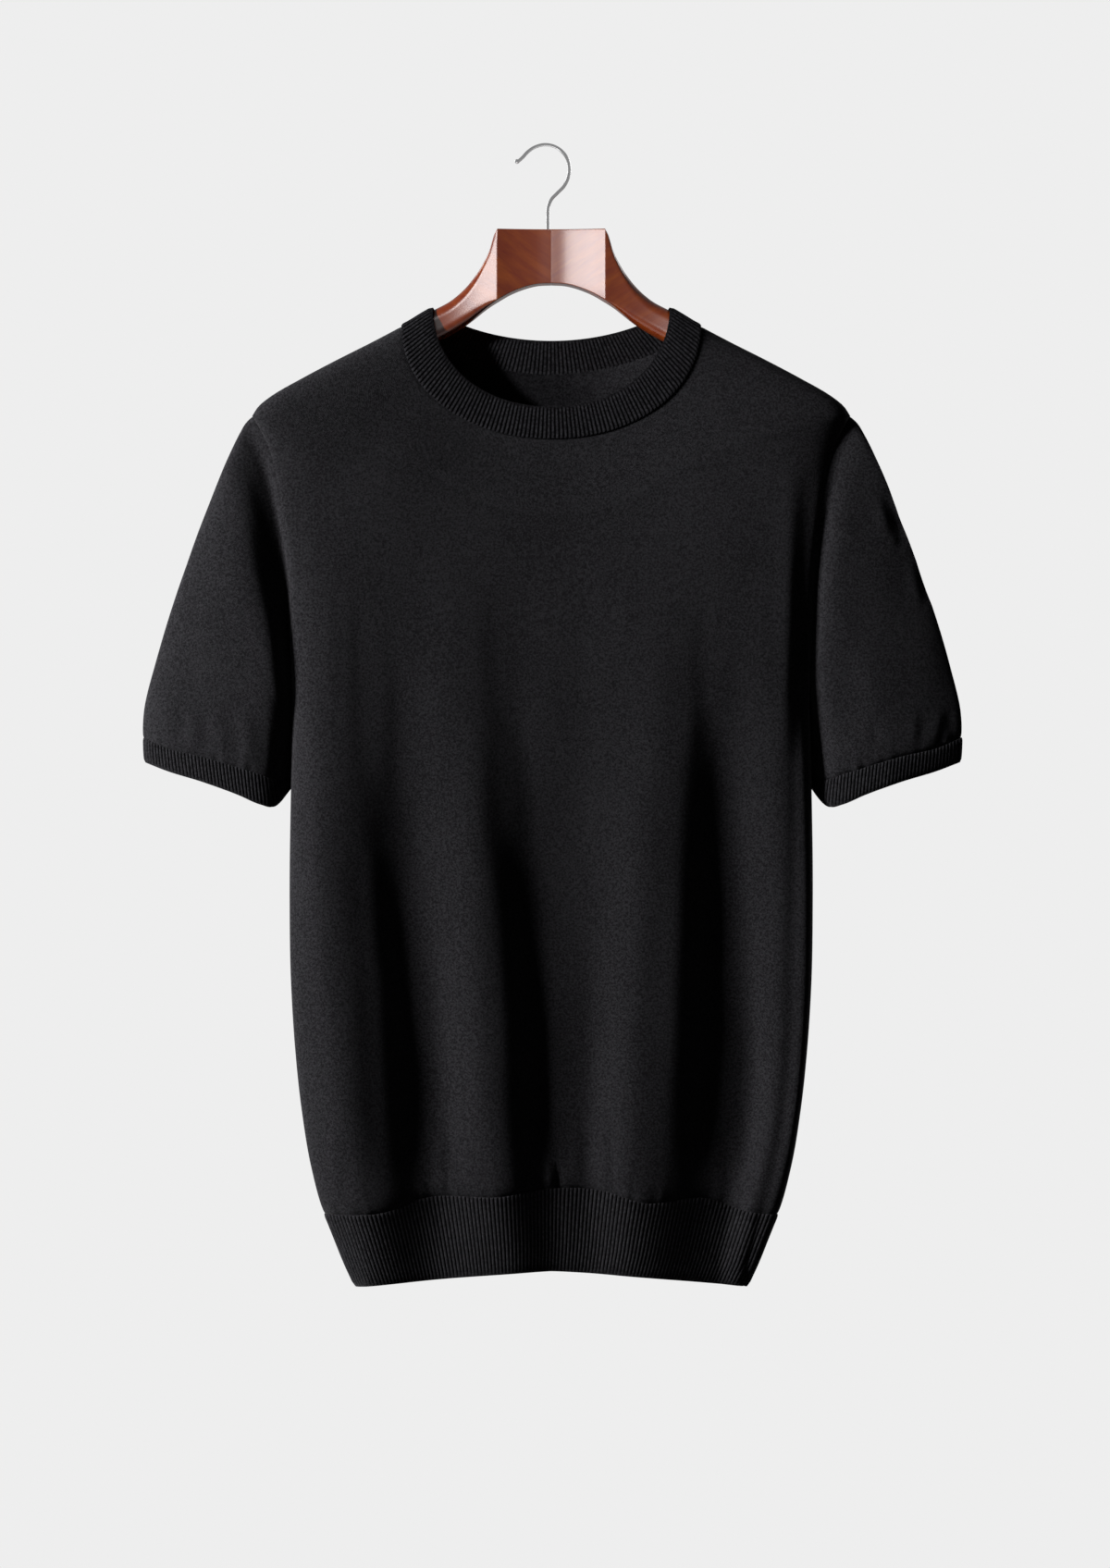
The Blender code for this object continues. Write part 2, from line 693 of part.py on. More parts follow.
def cuff_panel(name, sleeve, hand):
    seam = np.concatenate([sleeve.grid[-1], sleeve.grid[-1][:1]])
    turns = np.linspace(0, 2 * math.pi, FINE)
    across = (1 - np.cos(turns)) / 2
    x = CUFF_EDGE_OUTER_X + (CUFF_EDGE_UNDER_X - CUFF_EDGE_OUTER_X) * across
    drop = read(CUFF_LINES, "edge", across)
    y = sweep(x, drop) + CUFF_EDGE_SHARE * sleeve_section(1, across, turns, hand)
    columns = rib_columns(seam, CUFF_RIB_PITCH, CUFF_RIB_GROUP)
    rows = [evenly_spaced(line, columns)[:-1] for line in (seam, np.stack([hand * x, y, -drop], axis=1))]
    return Panel(name, rows, from_middle(rows), ("first_row",), closed=True, ribs=CUFF_RIB_GROUP)


# ---- the hanger ----


def capped_tube(rings):
    """A closed solid through rings that hold the same number of points."""
    count = len(rings[0])
    ids = [[r * count + k % count for k in range(count + 1)] for r in range(len(rings))]
    faces = []
    skin(faces, ids)
    faces.append(tuple(range(count))[::-1])
    faces.append(tuple(range((len(rings) - 1) * count, len(rings) * count)))
    return np.concatenate(rings), faces


def seat_drop(x):
    """Drop of the arm's top where it bears under the shoulder's wall."""
    drops = np.array([SHOULDER_LINE["drop"][0], *SHOULDER_ROW_DROPS[::-1], SHOULDER_DROP])
    ridge = np.interp(x, edge_x(drops), drops)
    slope = np.interp(x, edge_x(drops), np.gradient(drops, edge_x(drops)))
    return ridge + (CLOTH + ARM_SEAT_GAP) * math.sqrt(1 + slope**2)


def arm_ring(x, hand, tip_fall):
    """An upright section of a hanger half: a box with its four corners rounded."""
    top = tip_fall + (np.interp(x, ARM_TOP["x"], ARM_TOP["drop"]) if x <= ARM_NECK_X else seat_drop(x))
    bottom, front, back, corner = (
        np.interp(x, ARM_SECTIONS["x"], ARM_SECTIONS[name]) for name in ("bottom", "front", "back", "corner")
    )
    middle_y = float(sweep(x, top))
    ring = []
    for quarter, (side_y, side_drop) in enumerate(
        [(-front, top), (back, top), (back, bottom), (-front, bottom)]
    ):
        centre_y = side_y - math.copysign(corner, side_y)
        centre_drop = side_drop + math.copysign(corner, (top + bottom) / 2 - side_drop)
        for step in range(ARM_CORNER_STEPS + 1):
            turn = math.pi / 2 * step / ARM_CORNER_STEPS
            turn = turn if quarter % 2 == 0 else math.pi / 2 - turn
            y = centre_y + (side_y - centre_y) * math.cos(turn)
            drop = centre_drop + (side_drop - centre_drop) * math.sin(turn)
            ring.append((hand * x, middle_y + y, -drop))
    return np.array(ring)


def hanger_arm(name, hand):
    stations = np.concatenate([[GLUE_GAP / 2], ARM_SECTIONS["x"][1:]])
    along_tip = np.clip((stations - ARM_TIP_X) / (stations[-1] - ARM_TIP_X), 0, 1)
    rings = [arm_ring(x, hand, ARM_TIP_DROP * share**2) for x, share in zip(stations, along_tip)]
    points, faces = capped_tube(rings)
    return add_piece(name, points, faces, RED_BROWN_WOOD)


def bore(arm):
    """Bores the hole for the hook's stem from the top of the block."""
    top = ARM_TOP["drop"][0] - BORE_RUN_IN
    depth = BORE_FLOOR_DROP - top
    bpy.ops.mesh.primitive_cylinder_add(
        vertices=BORE_SIDES, radius=BORE_RADIUS, depth=depth, location=(STEM_X, 0, -top - depth / 2)
    )
    drill = bpy.context.object
    drill.name = "stem_drill"
    drill.hide_render = True
    drill.display_type = "WIRE"
    cut = arm.modifiers.new("bore", "BOOLEAN")
    cut.operation, cut.solver, cut.object = "DIFFERENCE", "EXACT", drill


def hook_ring(at, knots, radius):
    """A ring of the hook's wire at a place along its line, square to it."""
    ends = np.clip([at - WIRE_STEP / 100, at + WIRE_STEP / 100], 0, knots[-1])
    x, drop = (smooth(ends, knots, HOOK_LINE[name]) for name in ("x", "drop"))
    along = np.array([x[1] - x[0], drop[0] - drop[1]])
    along /= np.linalg.norm(along)
    turns = np.arange(WIRE_SIDES) * 2 * math.pi / WIRE_SIDES
    ring_x = x.mean() - CENTRE_X + radius * np.cos(turns) * along[1]
    ring_z = -drop.mean() - radius * np.cos(turns) * along[0]
    return np.stack([ring_x, radius * np.sin(turns), ring_z], axis=1)


def hook(name):
    """A round wire along the hook's line, swelling into a ball at its tip."""
    steps = np.hypot(np.diff(HOOK_LINE["x"]), np.diff(HOOK_LINE["drop"]))
    knots = np.concatenate([[0], np.cumsum(steps)])
    ball_turns = np.linspace(*BALL_TURNS, BALL_RINGS)
    ball = BALL_RADIUS * (1 - np.cos(ball_turns))
    rings = [hook_ring(at, knots, BALL_RADIUS * math.sin(turn)) for at, turn in zip(ball, ball_turns)]
    wire = np.concatenate([np.arange(ball[-1] + WIRE_STEP, knots[-2], WIRE_STEP), knots[-2:]])
    rings += [hook_ring(at, knots, WIRE_RADIUS) for at in wire]
    points, faces = capped_tube(rings)
    add_piece(name, points, faces, BRIGHT_STEEL)


def main():
    for old in list(bpy.data.objects):
        bpy.data.objects.remove(old)
    bodies = {FRONT: body_panel("front", FRONT), BACK: body_panel("back", BACK)}
    sleeves = {LEFT: sleeve_panel("sleeve_left", LEFT), RIGHT: sleeve_panel("sleeve_right", RIGHT)}
    panels = [
        *bodies.values(),
        *sleeves.values(),
        neck_panel("neck_rib", bodies),
        hem_panel("hem_rib_front", bodies[FRONT], FRONT),
        hem_panel("hem_rib_back", bodies[BACK], BACK),
        cuff_panel("cuff_rib_left", sleeves[LEFT], LEFT),
        cuff_panel("cuff_rib_right", sleeves[RIGHT], RIGHT),
    ]
    share_seam_normals(panels)
    for panel in panels:
        panel.add()
    hanger_arm("hanger_arm_left", LEFT)
    bore(hanger_arm("hanger_arm_right", RIGHT))
    hook("hanger_hook")


main()
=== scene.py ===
"""A short-sleeved knitted crew neck hanging on a varnished wooden hanger.

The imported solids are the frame. Each is replaced by a finer piece of the same form: knitted cloth with its
creases, seams and ribs, shaped wood and bent wire. Metres, +Z up. The front of the garment faces -Y and its
wearer's left is +X. Heights are given as a drop below the point where the hook bears, so z = -drop.
"""

import math

import bpy
import numpy as np
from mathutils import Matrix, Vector, kdtree


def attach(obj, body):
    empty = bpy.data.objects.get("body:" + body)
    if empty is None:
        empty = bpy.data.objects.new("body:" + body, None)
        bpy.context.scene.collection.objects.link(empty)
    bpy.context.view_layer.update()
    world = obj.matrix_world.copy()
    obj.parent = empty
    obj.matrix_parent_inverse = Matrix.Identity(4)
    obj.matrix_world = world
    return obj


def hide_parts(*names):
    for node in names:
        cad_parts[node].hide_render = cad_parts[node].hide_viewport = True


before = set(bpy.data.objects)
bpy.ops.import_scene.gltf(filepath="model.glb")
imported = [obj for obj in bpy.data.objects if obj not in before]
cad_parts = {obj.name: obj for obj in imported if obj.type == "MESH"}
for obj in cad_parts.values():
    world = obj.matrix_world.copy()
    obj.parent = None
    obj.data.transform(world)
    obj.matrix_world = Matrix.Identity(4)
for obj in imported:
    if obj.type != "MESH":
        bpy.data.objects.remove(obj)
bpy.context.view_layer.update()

FRONT = -1
BACK = 1
LEFT = 1
RIGHT = -1


def table(columns, *rows):
    """Rows of sizes as one array for each named column."""
    return dict(zip(columns.split(), np.array(rows, float).T))


# Cloth and seams.
CLOTH = 0.0015
SEAM_GAP = -0.0003
SEAM_REACH = 0.004
SEAM_TURN_IN = 0.0042
GROOVE_DEPTH = 0.0004
GROOVE_WIDTH = 0.0013
CENTRE_X = 0.0042

# Half the garment's width, down the shoulder line, the armhole line and the side line.
SHOULDER_LINE = table(
    "drop half_width",
    (0.1160, 0.0850),
    (0.1295, 0.1068),
    (0.1406, 0.1273),
    (0.1538, 0.1530),
    (0.1671, 0.1777),
    (0.1803, 0.2002),
    (0.1870, 0.2085),
    (0.1945, 0.2135),
)
ARMHOLE_LINE = table(
    "drop half_width",
    (0.1945, 0.2135),
    (0.2050, 0.2075),
    (0.2180, 0.2012),
    (0.2350, 0.1965),
    (0.2640, 0.1913),
    (0.3040, 0.1863),
    (0.3500, 0.1850),
    (0.4000, 0.1845),
)
SIDE_LINE = table(
    "drop half_width",
    (0.4000, 0.1845),
    (0.4600, 0.1860),
    (0.5400, 0.1870),
    (0.6000, 0.1860),
    (0.6500, 0.1828),
    (0.6900, 0.1785),
    (0.7300, 0.1718),
    (0.7600, 0.1635),
    (0.7850, 0.1535),
    (0.8000, 0.1475),
    (0.8160, 0.1405),
)
SHOULDER_DROP = 0.1945
UNDERARM_DROP = 0.4000
ARMHOLE_HALF_DEPTH = 0.015

# Depth of each body section in front of and behind the side seams, and how square it is: 2 is an ellipse.
BODY_SECTIONS = table(
    "drop front back square",
    (0.116, 0.0150, 0.0150, 3.00),
    (0.130, 0.0160, 0.0160, 3.10),
    (0.150, 0.0170, 0.0165, 3.20),
    (0.175, 0.0180, 0.0175, 3.40),
    (0.200, 0.0200, 0.0190, 3.60),
    (0.250, 0.0235, 0.0210, 3.80),
    (0.300, 0.0255, 0.0225, 3.90),
    (0.400, 0.0270, 0.0235, 3.90),
    (0.500, 0.0270, 0.0240, 3.90),
    (0.600, 0.0265, 0.0235, 3.90),
    (0.700, 0.0260, 0.0230, 3.80),
    (0.760, 0.0250, 0.0225, 3.60),
    (0.816, 0.0240, 0.0215, 3.40),
)
SWEEP = table("drop forward", (0.10, 0.018), (0.25, 0.017), (0.45, 0.013), (0.60, 0.009), (0.82, 0.005))
SWEEP_REACH = 0.300

# Large folds: how far each crest or trough stands out, and its place across at four levels.
FOLD_LEVELS = np.array([0.360, 0.560, 0.704, 0.800])
FRONT_FOLDS = table(
    "relief chest waist above_rib hem",
    (0.0050, -0.168, -0.162, -0.146, -0.130),
    (-0.0095, -0.110, -0.095, -0.084, -0.080),
    (0.0000, -0.062, -0.050, -0.044, -0.030),
    (-0.0110, -0.022, -0.003, 0.003, 0.010),
    (-0.0120, 0.014, 0.024, 0.024, 0.026),
    (-0.0050, 0.074, 0.066, 0.060, 0.058),
    (-0.0185, 0.126, 0.131, 0.134, 0.118),
    (-0.0070, 0.172, 0.170, 0.162, 0.138),
)
BACK_FOLDS = table(
    "relief chest waist above_rib hem",
    (0.0020, -0.166, -0.162, -0.152, -0.134),
    (-0.0080, -0.118, -0.112, -0.106, -0.096),
    (-0.0010, -0.066, -0.058, -0.052, -0.048),
    (-0.0100, -0.012, -0.002, 0.004, 0.008),
    (-0.0020, 0.048, 0.052, 0.052, 0.050),
    (-0.0100, 0.106, 0.108, 0.104, 0.094),
    (-0.0010, 0.164, 0.158, 0.150, 0.134),
)
FOLD_STRENGTH = table(
    "drop share",
    (0.260, 0.00),
    (0.310, 0.06),
    (0.350, 0.16),
    (0.425, 0.45),
    (0.500, 0.76),
    (0.600, 1.00),
    (0.720, 1.00),
    (0.770, 0.80),
    (0.816, 0.55),
)

# Small creases, each along a line from one place to another, bowed sideways in the middle. A step stands
# proud on the wearer's right of its line and sinks on the left. A dip sinks along the line.
BODY_CREASES = {
    FRONT: table(
        "x0 drop0 x1 drop1 bow width step dip",
        (-0.156, 0.318, -0.153, 0.402, 0.002, 0.008, 0.00022, 0.0000),
        (-0.118, 0.500, -0.104, 0.762, 0.000, 0.016, 0.0012, 0.0000),
        (-0.034, 0.490, -0.019, 0.762, 0.004, 0.016, 0.0010, 0.0000),
        (0.107, 0.400, 0.098, 0.765, 0.000, 0.022, 0.0018, 0.0000),
        (0.177, 0.230, 0.173, 0.440, 0.000, 0.012, 0.0012, 0.0000),
        (-0.141, 0.312, -0.137, 0.455, -0.002, 0.009, 0.00022, 0.0000),
        (-0.119, 0.335, -0.115, 0.470, 0.003, 0.010, 0.00022, 0.0000),
        (-0.128, 0.480, -0.122, 0.590, 0.003, 0.012, 0.00024, 0.0000),
        (-0.045, 0.318, -0.042, 0.420, -0.002, 0.012, 0.00020, 0.0000),
        (-0.036, 0.420, -0.032, 0.520, 0.002, 0.014, -0.00030, 0.0000),
        (0.099, 0.330, 0.104, 0.470, 0.003, 0.012, 0.00034, 0.0000),
        (0.117, 0.420, 0.112, 0.480, -0.002, 0.008, 0.00020, 0.0000),
        (0.034, 0.300, 0.030, 0.400, 0.002, 0.014, -0.00022, 0.0000),
        (0.052, 0.300, 0.048, 0.380, -0.002, 0.012, -0.00020, 0.0000),
        (-0.077, 0.700, -0.076, 0.748, 0.001, 0.006, 0.0005, 0.0002),
        (-0.065, 0.715, -0.064, 0.750, 0.001, 0.006, -0.0003, 0.0002),
        (0.0005, 0.725, 0.002, 0.748, 0.001, 0.004, 0.0010, 0.0005),
        (0.039, 0.690, 0.040, 0.750, 0.001, 0.006, 0.0004, 0.0002),
        (0.023, 0.705, 0.022, 0.748, -0.001, 0.007, 0.0004, 0.0000),
        (0.130, 0.705, 0.128, 0.756, 0.001, 0.008, -0.0004, 0.0000),
        (-0.152, 0.700, -0.150, 0.762, 0.001, 0.008, 0.0004, 0.0000),
        (0.060, 0.180, 0.150, 0.290, 0.010, 0.030, 0.0003, 0.0000),
        (-0.070, 0.180, -0.150, 0.280, -0.010, 0.030, -0.0003, 0.0000),
    ),
    BACK: table(
        "x0 drop0 x1 drop1 bow width step dip",
        (-0.150, 0.330, -0.146, 0.450, 0.002, 0.012, 0.0005, 0.0000),
        (-0.090, 0.300, -0.096, 0.480, -0.003, 0.014, 0.0006, 0.0000),
        (0.034, 0.320, 0.030, 0.500, 0.003, 0.013, 0.0005, 0.0000),
        (0.088, 0.350, 0.092, 0.460, 0.002, 0.010, 0.0005, 0.0000),
        (0.140, 0.310, 0.136, 0.420, -0.002, 0.012, 0.0004, 0.0000),
        (-0.040, 0.660, -0.036, 0.744, 0.002, 0.010, 0.0005, 0.0003),
        (0.082, 0.680, 0.080, 0.752, 0.001, 0.009, 0.0005, 0.0000),
        (-0.125, 0.690, -0.122, 0.755, 0.001, 0.009, 0.0004, 0.0000),
        (-0.020, 0.190, -0.120, 0.250, 0.008, 0.030, 0.0004, 0.0000),
        (0.030, 0.190, 0.130, 0.260, -0.008, 0.030, -0.0004, 0.0000),
    ),
}
SLEEVE_CREASES = {
    RIGHT: table(
        "x0 drop0 x1 drop1 bow width step dip",
        (-0.236, 0.400, -0.229, 0.438, 0.002, 0.010, 0.0004, 0.0003),
        (-0.252, 0.402, -0.249, 0.434, 0.001, 0.009, 0.0004, 0.0003),
        (-0.215, 0.402, -0.209, 0.446, 0.001, 0.009, 0.0004, 0.0003),
        (-0.268, 0.402, -0.268, 0.430, 0.001, 0.008, 0.0003, 0.0003),
        (-0.250, 0.300, -0.236, 0.370, 0.004, 0.020, 0.0003, 0.0000),
    ),
    LEFT: table(
        "x0 drop0 x1 drop1 bow width step dip",
        (0.234, 0.250, 0.242, 0.283, 0.002, 0.007, 0.0008, 0.0005),
        (0.243, 0.262, 0.247, 0.290, 0.001, 0.006, 0.0005, 0.0004),
        (0.259, 0.300, 0.266, 0.330, 0.001, 0.007, 0.0005, 0.0004),
        (0.280, 0.404, 0.277, 0.426, 0.001, 0.006, 0.0004, 0.0004),
        (0.262, 0.404, 0.260, 0.430, 0.001, 0.007, 0.0003, 0.0003),
        (0.232, 0.404, 0.228, 0.438, -0.001, 0.008, 0.0003, 0.0003),
        (0.214, 0.330, 0.206, 0.430, -0.003, 0.014, 0.0003, 0.0000),
    ),
}
WAVER = 0.00032
GATHER_HEIGHT = 0.00035
GATHER_REACH = 0.010
BLOUSE_HEIGHT = 0.0010

# Neckline curves: half width and drop at the shoulder line, the fall to the middle, and two powers.
NECK_SEAM = {FRONT: (0.1068, 0.1295, 0.0811, 2.1, 2.1), BACK: (0.1068, 0.1295, 0.0329, 2.0, 1.1)}
NECK_EDGE = {FRONT: (0.0850, 0.1160, 0.0722, 2.1, 2.1), BACK: (0.0850, 0.1160, 0.0225, 2.0, 1.2)}

# The hem: where the rib starts, as a place across the half width, and where it ends.
RIB_TOP = {
    FRONT: table(
        "across drop",
        (-1.00, 0.7645),
        (-0.72, 0.7620),
        (-0.56, 0.7530),
        (-0.20, 0.7510),
        (-0.04, 0.7465),
        (0.22, 0.7475),
        (0.40, 0.7560),
        (0.66, 0.7530),
        (0.86, 0.7625),
        (1.00, 0.7650),
    ),
    BACK: table(
        "across drop",
        (-1.00, 0.7645),
        (-0.60, 0.7560),
        (-0.10, 0.7500),
        (0.40, 0.7525),
        (0.70, 0.7580),
        (1.00, 0.7650),
    ),
}
HEM_MIDDLE_DROP = {FRONT: 0.8040, BACK: 0.8020}
HEM_SIDE_DROP = 0.8160
HEM_ARCH_POWER = 1.25

# Sleeves, read at a share of the way from the armhole to the cuff.
OUTER_LINE = table(
    "share x drop",
    (0.00, 0.2135, 0.1945),
    (0.03, 0.2188, 0.2002),
    (0.06, 0.2225, 0.2069),
    (0.14, 0.2317, 0.2267),
    (0.31, 0.2480, 0.2665),
    (0.54, 0.2675, 0.3196),
    (0.77, 0.2840, 0.3726),
    (0.88, 0.2904, 0.3991),
    (1.00, 0.2922, 0.4240),
)
UNDER_LINE = table(
    "share x y drop",
    (0.00, 0.1845, 0.000, 0.400),
    (0.03, 0.1842, 0.006, 0.402),
    (0.08, 0.1844, 0.010, 0.406),
    (0.20, 0.1848, 0.011, 0.413),
    (0.40, 0.1852, 0.011, 0.423),
    (0.70, 0.1857, 0.011, 0.440),
    (1.00, 0.1861, 0.011, 0.456),
)
UNDER_TURN_POWER = 12
# Each sleeve's section, from its outer fold to the body: how far back the fold lies, how deep the front
# and the back bulge, and how square their outer and inner halves are.
SLEEVE_SECTIONS = {
    RIGHT: table(
        "share outer_back front back outer_square inner_square",
        (0.000, 0.0000, 0.0150, 0.0150, 2.00, 2.00),
        (0.035, 0.0000, 0.0098, 0.0150, 2.10, 2.20),
        (0.075, -0.0010, 0.0092, 0.0150, 2.80, 2.50),
        (0.140, -0.0010, 0.0124, 0.0155, 3.20, 2.70),
        (0.220, 0.0003, 0.0168, 0.0165, 2.50, 2.70),
        (0.320, 0.0026, 0.0192, 0.0180, 2.20, 2.50),
        (0.460, 0.0062, 0.0190, 0.0200, 2.15, 2.40),
        (0.650, 0.0120, 0.0172, 0.0220, 2.20, 2.40),
        (0.900, 0.0175, 0.0155, 0.0230, 2.30, 2.60),
        (1.000, 0.0190, 0.0150, 0.0230, 2.30, 2.60),
    ),
    LEFT: table(
        "share outer_back front back outer_square inner_square",
        (0.000, 0.0000, 0.0150, 0.0150, 2.00, 2.00),
        (0.025, -0.0030, 0.0113, 0.0150, 2.15, 2.10),
        (0.050, -0.0055, 0.0107, 0.0150, 2.00, 2.20),
        (0.090, -0.0085, 0.0116, 0.0152, 1.60, 2.40),
        (0.140, -0.0105, 0.0125, 0.0155, 1.35, 2.80),
        (0.220, -0.0118, 0.0129, 0.0160, 1.20, 3.20),
        (0.320, -0.0118, 0.0130, 0.0165, 1.20, 3.60),
        (0.460, -0.0110, 0.0130, 0.0165, 1.20, 4.00),
        (0.650, -0.0100, 0.0130, 0.0165, 1.20, 4.20),
        (0.900, -0.0095, 0.0128, 0.0165, 1.20, 4.20),
        (1.000, -0.0095, 0.0126, 0.0165, 1.20, 4.20),
    ),
}
CUFF_LINES = table(
    "across seam edge",
    (0.00, 0.4240, 0.4410),
    (0.15, 0.4310, 0.4470),
    (0.40, 0.4376, 0.4550),
    (0.65, 0.4455, 0.4645),
    (0.80, 0.4505, 0.4712),
    (0.88, 0.4535, 0.4728),
    (1.00, 0.4560, 0.4600),
)
CUFF_EDGE_OUTER_X = 0.2915
CUFF_EDGE_UNDER_X = 0.1864
CUFF_EDGE_SHARE = 0.96

# Ribs: distance from one to the next, height outside and inside, how full each is, how far from the free
# edge it fades, and the thickness of the band.
COLLAR_RIBS = dict(pitch=0.0031, height=0.0009, inside=0.0006, fullness=0.55, plain_edge=0.0022, link=0.0005)
CUFF_RIBS = dict(pitch=0.00265, height=0.0007, inside=0.0004, fullness=0.55, plain_edge=0.0009, link=0.0002)
HEM_RIBS = dict(pitch=0.0025, height=0.0007, inside=0.0004, fullness=0.55, plain_edge=0.0009, link=0.0002)
LINK_REACH = 0.0016
# Painted light on the neck rib's crests, as a gain on the yarn's colour.
PAINTED_CREST_LIGHT = 2.5
# A painted highlight on the bead where each rib meets its seam, and how far from the seam it fades.
PAINTED_BEAD_HIGHLIGHT = 0.8
PAINTED_BEAD_HIGHLIGHT_REACH = 0.0012
RIB_COLUMNS = 8
RIM_STEPS = 5

# The hanger: sections of one wooden half, and the line of its top out to the neck of the garment.
ARM_TOP = table(
    "x drop",
    (0.0000, 0.0603),
    (0.0385, 0.0603),
    (0.0410, 0.0650),
    (0.0440, 0.0750),
    (0.0490, 0.0852),
    (0.0580, 0.0981),
    (0.0700, 0.1096),
    (0.0850, 0.1182),
)
ARM_SECTIONS = table(
    "x bottom front back corner",
    (0.0000, 0.0988, 0.0085, 0.0110, 0.0006),
    (0.0100, 0.0994, 0.0089, 0.0110, 0.0006),
    (0.0200, 0.1020, 0.0099, 0.0110, 0.0006),
    (0.0300, 0.1062, 0.0113, 0.0110, 0.0006),
    (0.0385, 0.1112, 0.0129, 0.0110, 0.0008),
    (0.0410, 0.1129, 0.0124, 0.0108, 0.0020),
    (0.0440, 0.1150, 0.0118, 0.0105, 0.0032),
    (0.0490, 0.1190, 0.0109, 0.0100, 0.0050),
    (0.0580, 0.1265, 0.0096, 0.0094, 0.0072),
    (0.0700, 0.1345, 0.0084, 0.0082, 0.0080),
    (0.0850, 0.1428, 0.0078, 0.0078, 0.0078),
    (0.1100, 0.1560, 0.0080, 0.0080, 0.0080),
    (0.1400, 0.1725, 0.0086, 0.0086, 0.0086),
    (0.1700, 0.1890, 0.0092, 0.0092, 0.0092),
    (0.1880, 0.1985, 0.0094, 0.0094, 0.0090),
    (0.1970, 0.2005, 0.0088, 0.0088, 0.0080),
    (0.2010, 0.1985, 0.0062, 0.0062, 0.0045),
)
ARM_NECK_X = 0.0850
ARM_SEAT_GAP = 0.0007
ARM_TIP_X = 0.1880
ARM_TIP_DROP = 0.0040
ARM_STEP = 0.0012
ARM_CORNER_STEPS = 6
ARM_FACE_STEPS = 6
CREASE_X = 0.0385
GLUE_GAP = 0.00004

# The hook: a bent wire with a ball at its tip, and its bore in the block.
WIRE_RADIUS = 0.0012
BALL_RADIUS = 0.0017
HOOK_LINE = table(
    "x drop",
    (-0.0219, 0.0113),
    (-0.0196, 0.0106),
    (-0.0163, 0.0079),
    (-0.0132, 0.0045),
    (-0.0086, 0.0011),
    (0.0000, -0.0012),
    (0.0086, 0.0011),
    (0.0149, 0.0074),
    (0.0172, 0.0160),
    (0.0162, 0.0228),
    (0.0134, 0.0285),
    (0.0084, 0.0337),
    (0.0042, 0.0382),
    (0.0023, 0.0428),
    (0.0018, 0.0480),
    (0.0018, 0.0850),
)
STEM_X = 0.0018
BORE_RADIUS = 0.00155
BORE_FLOOR_DROP = 0.0853
BORE_RUN_IN = 0.005
BORE_SIDES = 32
WIRE_SIDES = 24
WIRE_STEP = 0.0006
BALL_RINGS = 12
BALL_TURNS = (0.12, 2.35)

# How finely cloth is divided.
FINE = 1601
CLOTH_STEP = 0.0029
BACK_STEP = 0.0036
SLEEVE_STEP = 0.0028
RIB_ROW_STEP = 0.0024
EDGE_STEPS = (0.0007, 0.0009, 0.0012, 0.0016, 0.0022)


# ---- curves ----


def smooth(at, knots, values):
    """A smooth curve through the points (knots, values), read at any place between them."""
    slopes = np.gradient(values, knots)
    at = np.clip(at, knots[0], knots[-1])
    left = np.clip(np.searchsorted(knots, at) - 1, 0, len(knots) - 2)
    span = knots[left + 1] - knots[left]
    t = (at - knots[left]) / span
    return (
        (1 + 2 * t) * (1 - t) ** 2 * values[left]
        + t * (1 - t) ** 2 * span * slopes[left]
        + t * t * (3 - 2 * t) * values[left + 1]
        - t * t * (1 - t) * span * slopes[left + 1]
    )


def read(rows, column, at):
    """A table's column at a place along its first column."""
    return smooth(at, next(iter(rows.values())), rows[column])


def run_of(points):
    """Distance along a line of points, from its first."""
    return np.concatenate([[0], np.cumsum(np.linalg.norm(np.diff(points, axis=0), axis=1))])


def spaced(points, shares):
    """The points of a line at these shares of its length."""
    along = run_of(points)
    return np.stack([np.interp(shares * along[-1], along, points[:, k]) for k in range(3)], axis=1)


def evenly_spaced(points, count):
    return spaced(points, np.linspace(0, 1, count))


def divided(length, step, fine_start, fine_end):
    """Shares of a length: short steps by an end that is sewn, then even ones."""
    start = np.cumsum(EDGE_STEPS) if fine_start else np.empty(0)
    end = length - np.cumsum(EDGE_STEPS)[::-1] if fine_end else np.empty(0)
    low = start[-1] if fine_start else 0.0
    high = end[0] if fine_end else length
    middle = np.linspace(low, high, max(2, round((high - low) / step) + 1))[1:-1]
    return np.concatenate([[0], start, middle, end, [length]]) / length


# ---- the body's surface ----


def seam_half_depth(drop):
    """How far the armhole seam stands in front of or behind the sleeve's middle line."""
    share = np.clip((drop - SHOULDER_DROP) / (UNDERARM_DROP - SHOULDER_DROP), 0, 1)
    return ARMHOLE_HALF_DEPTH * 2 * np.sqrt(share * (1 - share))


def edge_x(drop):
    """Half the width of a body panel: to its shoulder, armhole or side seam."""
    shoulder = read(SHOULDER_LINE, "half_width", drop)
    armhole = read(ARMHOLE_LINE, "half_width", drop)
    side = read(SIDE_LINE, "half_width", drop)
    return np.where(drop <= SHOULDER_DROP, shoulder, np.where(drop <= UNDERARM_DROP, armhole, side))


def sweep(x, drop):
    """How far forward the cloth is carried at a place across it."""
    reach = np.sin(math.pi / 2 * np.minimum(np.abs(x) / SWEEP_REACH, 1)) ** 2
    return -read(SWEEP, "forward", drop) * reach


